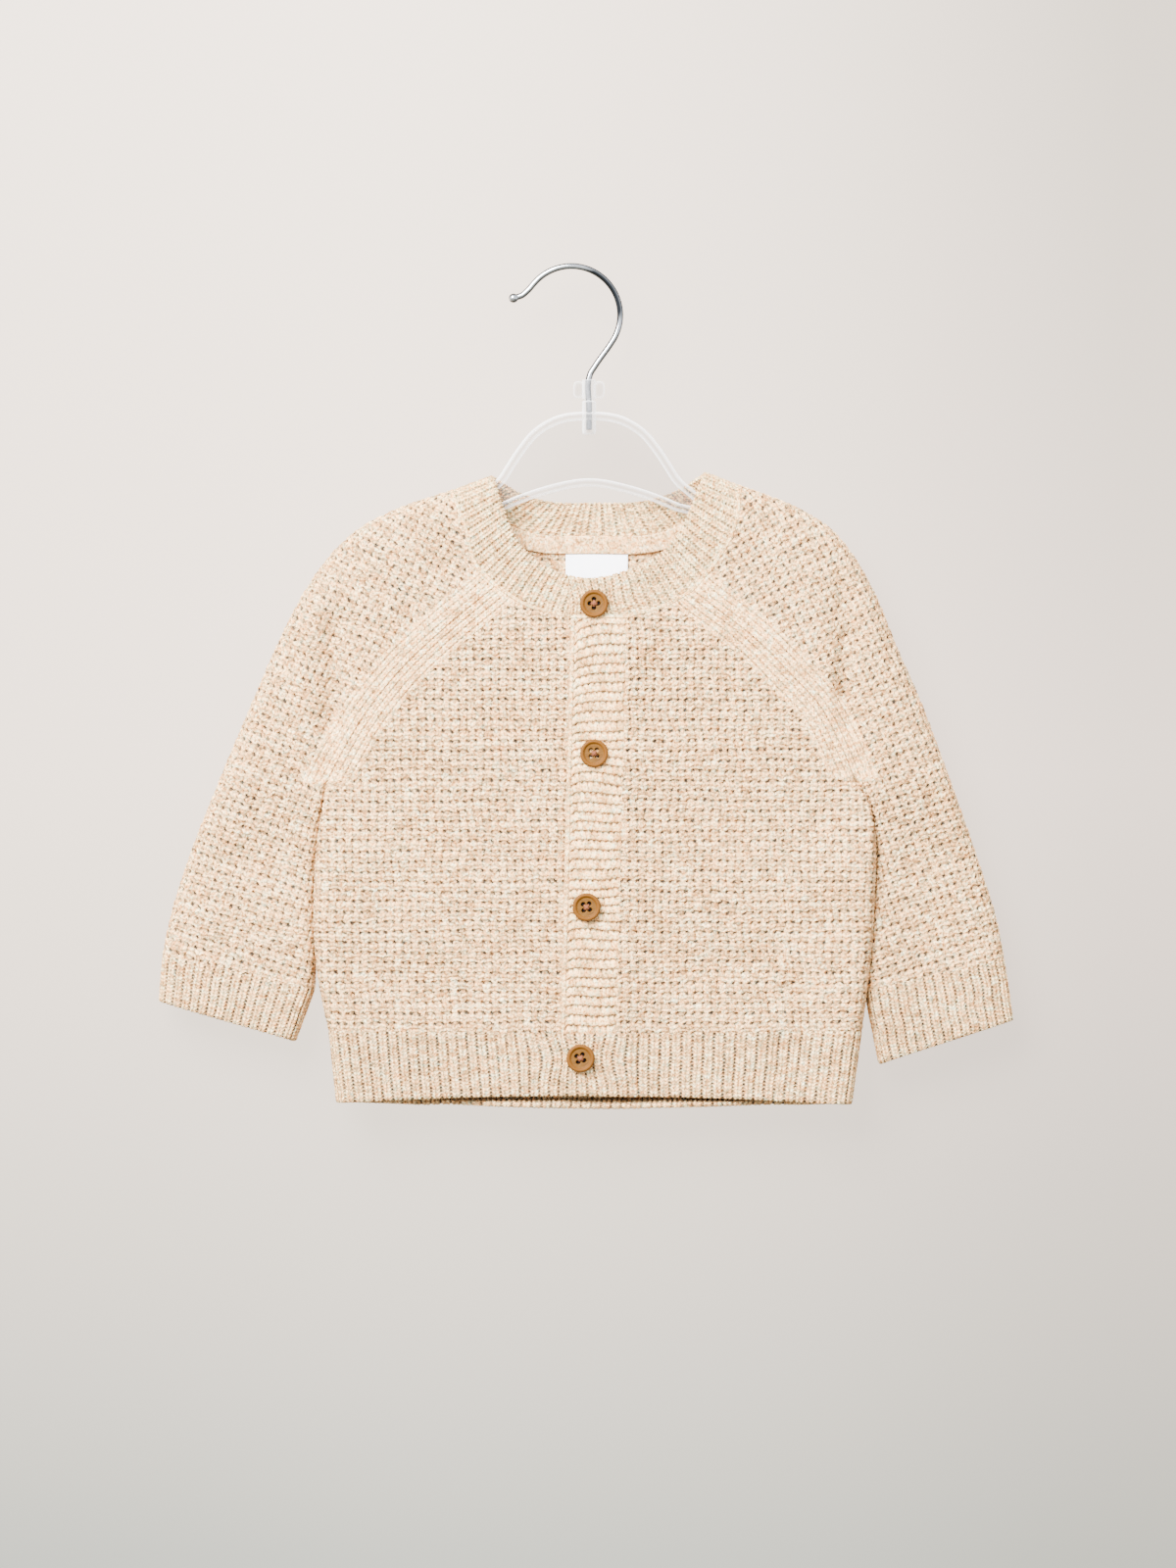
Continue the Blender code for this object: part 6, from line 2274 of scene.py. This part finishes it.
@dataclass(frozen=True)
class ThreadFinish:
    """Pinkish cream sewing thread with a slight twist."""

    name: str = "sewing_thread"
    colour: Colour = (0.19, 0.066, 0.032)
    shade: Colour = (0.11, 0.034, 0.015)

    def material(self) -> Material:
        """Builds the material: fine bands across the thread."""
        g = Graph(self.name)
        twist = g.noise(g.place(), 2600.0, 1.0, 0.5)
        colour = g.ramp(twist, ((0.35, self.shade), (0.6, self.colour)))
        g.bump(twist, 0.00008)
        g.set(Base_Color=colour, Roughness=0.9, Specular_IOR_Level=0.1)
        return g.material


@dataclass(frozen=True)
class SatinFinish:
    """White satin ribbon: fine threads across, a soft gloss, and a painted glow that keeps it
    bright in the shade inside the neck.
    """

    name: str = "white_satin"
    white: Colour = (0.92, 0.92, 0.95)
    shade: Colour = (0.80, 0.82, 0.90)
    bright: float = 1.6  # of its painted glow: light that the label gives off of its own

    def material(self) -> Material:
        """Builds the material, with a painted glow."""
        g = Graph(self.name)
        threads = 0.5 + 0.5 * sine(g.uv("stitch")[1] * 40.0)
        cloud = g.noise(g.place(), 220.0, 3.0, 0.6)
        colour = g.ramp(threads * 0.3 + cloud * 0.7, ((0.3, self.shade), (0.6, self.white)))
        g.bump(threads, 0.00004)
        g.set(Base_Color=colour, Roughness=0.38 + cloud * 0.2)
        # painted glow: the label gives off light of its own, so that it stays bright in the shade
        g.set(Emission_Color=colour, Emission_Strength=self.bright)
        return g.material


@dataclass(frozen=True)
class ClearFinish:
    """Clear moulded plastic: mostly see-through, whiter and glossy where it is seen edge on."""

    name: str = "clear_moulding"
    body: Colour = (0.93, 0.94, 0.95)
    bright: Colour = (0.95, 0.96, 0.97)
    through: Colour = (0.885, 0.875, 0.87)

    def material(self) -> Material:
        """Builds the material: a see-through shader mixed with a glossy one by facing."""
        g = Graph(self.name)
        haze = g.noise(g.place(), 60.0, 2.0, 0.5)
        colour = g.ramp(haze, ((0.3, self.body), (0.7, self.bright)))
        g.bump(haze, 0.00005)
        g.set(Base_Color=colour, Roughness=0.06 + haze * 0.06, IOR=1.49)
        facing = Value(g, g.node("LayerWeight", None, {"Blend": 0.35}).outputs["Facing"])
        clear = g.node("BsdfTransparent", None, {"Color": self.through})
        share = most(0.02 + power(facing, 0.80) * 0.95, 1.0)
        g.blend(share, clear.outputs[0], g.shader.outputs[0])
        return g.material


@dataclass(frozen=True)
class ChromeFinish:
    """Bright plated wire with painted dark reflections along it and over the top of its round, and
    a faint smudge here and there.
    """

    name: str = "bright_plating"
    bright: Colour = (0.50, 0.52, 0.54)
    dull: Colour = (0.34, 0.36, 0.38)
    # painted reflection: the near black that the wire would mirror from dark surroundings
    dark: Colour = (0.020, 0.023, 0.026)

    def material(self) -> Material:
        """Builds the material: roughness and tone follow the smudges, and painted dark reflections
        lie along the wire and over its round.
        """
        g = Graph(self.name)
        smudge = g.noise(g.place(), 140.0, 3.0, 0.6)
        ahead, beside = g.uv("around")
        colour = g.ramp(smudge, ((0.35, self.dull), (0.6, self.bright)))
        # painted reflection: dark bands along the front of the wire, and over the top right of the
        # round
        painted_streaks = 0.95 * dip(ahead + 0.58, 0.28) + 0.50 * step_up(beside) * step_up(ahead + 0.95)
        parts = g.node("SeparateXYZ", None, {0: g.place()})
        x, z = Value(g, parts.outputs[0]), Value(g, parts.outputs[2])
        painted_top_place = step_up((x + 0.004) / 0.008) * step_up((z + 0.026) / 0.010)
        painted_top_streak = 0.95 * painted_top_place * dip(beside - 0.25, 0.62)
        colour = g.mix(most(painted_streaks + painted_top_streak, 1.0), colour, self.dark)
        g.set(Base_Color=colour, Roughness=0.07 + smudge * 0.12, Metallic=1.0)
        return g.material


@dataclass(frozen=True)
class CoveFinish:
    """Plain pale paper with painted light: a painted glow of its own keeps the shadows on it faint,
    and painted light falls off from the top left to the bottom right.

    It is seen from its front side alone. Its colours are painted brightness by height, from the
    foot up, at the left and at the right of the view.
    """

    name: str = "pale_paper"
    left: tuple[Colour, ...] = ((1.20, 1.20, 1.05), (3.35, 2.80, 2.32), (4.15, 3.50, 2.95))
    right: tuple[Colour, ...] = ((1.02, 1.00, 0.86), (2.38, 1.97, 1.68), (2.05, 1.78, 1.48))
    centre: float = 0.15  # how much brighter the painted light is half way across
    glow: float = 0.78  # share of the brightness that is its painted glow, light of its own
    paper: Colour = (0.22, 0.22, 0.22)  # how much of the lamps' light it gives back

    def material(self) -> Material:
        """Builds the material: painted light and shade that change slowly over height and width, a
        painted glow, and nothing on the back.
        """
        g = Graph(self.name)
        parts = g.node("SeparateXYZ", None, {0: g.place()})
        x = Value(g, parts.outputs[0])
        across = power(most(least((x + 0.26) / 0.52, 0.0), 1.0), 1.6)
        height = (Value(g, parts.outputs[2]) + 0.62) / 0.76
        sides = []
        for side in (self.left, self.right):
            tones = [tuple(0.1 * c for c in colour) for colour in side]
            sides.append(g.ramp(height, list(zip((0.0, 0.5, 1.0), tones))))
        # painted light: brighter half way across
        bright = 1 + self.centre * dip(x, 0.18)
        shade = g.tinted(g.mix(across, *sides), g.vector(bright, bright, bright))
        paper = g.tinted(shade, self.paper)
        g.bump(g.noise(g.place(), 700.0, 2.0, 0.5), 0.00003)
        g.set(Base_Color=paper, Roughness=0.9, Specular_IOR_Level=0.1)
        # painted glow: the paper gives off light of its own, which fills in the shadows on it
        g.set(Emission_Color=shade, Emission_Strength=10 * self.glow)
        behind = g.node("NewGeometry").outputs["Backfacing"]
        g.blend(behind, g.shader.outputs[0], g.node("BsdfTransparent").outputs[0])
        return g.material


# ---------------------------------------------------------------- the whole
def corners(bounds: Sequence) -> list[list[float]]:
    """Lowest and highest corner of a box as plain lists."""
    return [[float(value) for value in corner] for corner in bounds]


def main() -> None:
    """Builds every sub-assembly in order, then the studio."""
    logging.basicConfig(level=logging.INFO, format="%(name)s: %(message)s")
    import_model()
    moss = KnitFinish("melange_moss", Stitch.DOUBLE_MOSS, gain=1.13).material()
    even_rib = (0.14, 0.50)
    rib = KnitFinish("melange_rib", Stitch.RIB, gain=1.17, depth=1.0, wander=even_rib).material()
    # The neckband's yarn is a brighter copy of the rib's, with less painted shade between its
    # stitches: partly its own tone, partly painted light against the shade inside the neck.
    neck = KnitFinish("melange_neck_painted_light", Stitch.RIB, gain=1.22, depth=0.80, wander=even_rib)
    garter = KnitFinish(
        "melange_garter", Stitch.GARTER, gain=1.16, depth=0.88, wander=(0.46, 0.30),
        light=(0.90, 0.52, 0.235),
    )
    tape = KnitFinish("melange_jersey", Stitch.JERSEY, bump=0.0003, wander=(0.50, 0.60))
    neck_rib_painted_light, garter, tape = (finish.material() for finish in (neck, garter, tape))
    plans = BodyPanels(moss).build()
    plans |= Sleeves(moss).build()
    bands = FrontBands(garter, plans).build()
    RibTrims(rib, plans).build()
    Neckband(neck_rib_painted_light, plans, bands).build()
    TapeAndLabel(tape, SatinFinish().material(), plans["back"][-1]).build()
    Buttons(WoodFinish().material(), ThreadFinish().material()).build()
    Hanger(ClearFinish().material(), ChromeFinish().material()).build()
    Studio(CoveFinish().material()).build()
    shown = [o for o in bpy.data.objects if o.type == "MESH" and not o.hide_render]
    log.info("faces shown: %d", sum(len(o.data.polygons) for o in shown))


if __name__ == "__main__":
    main()
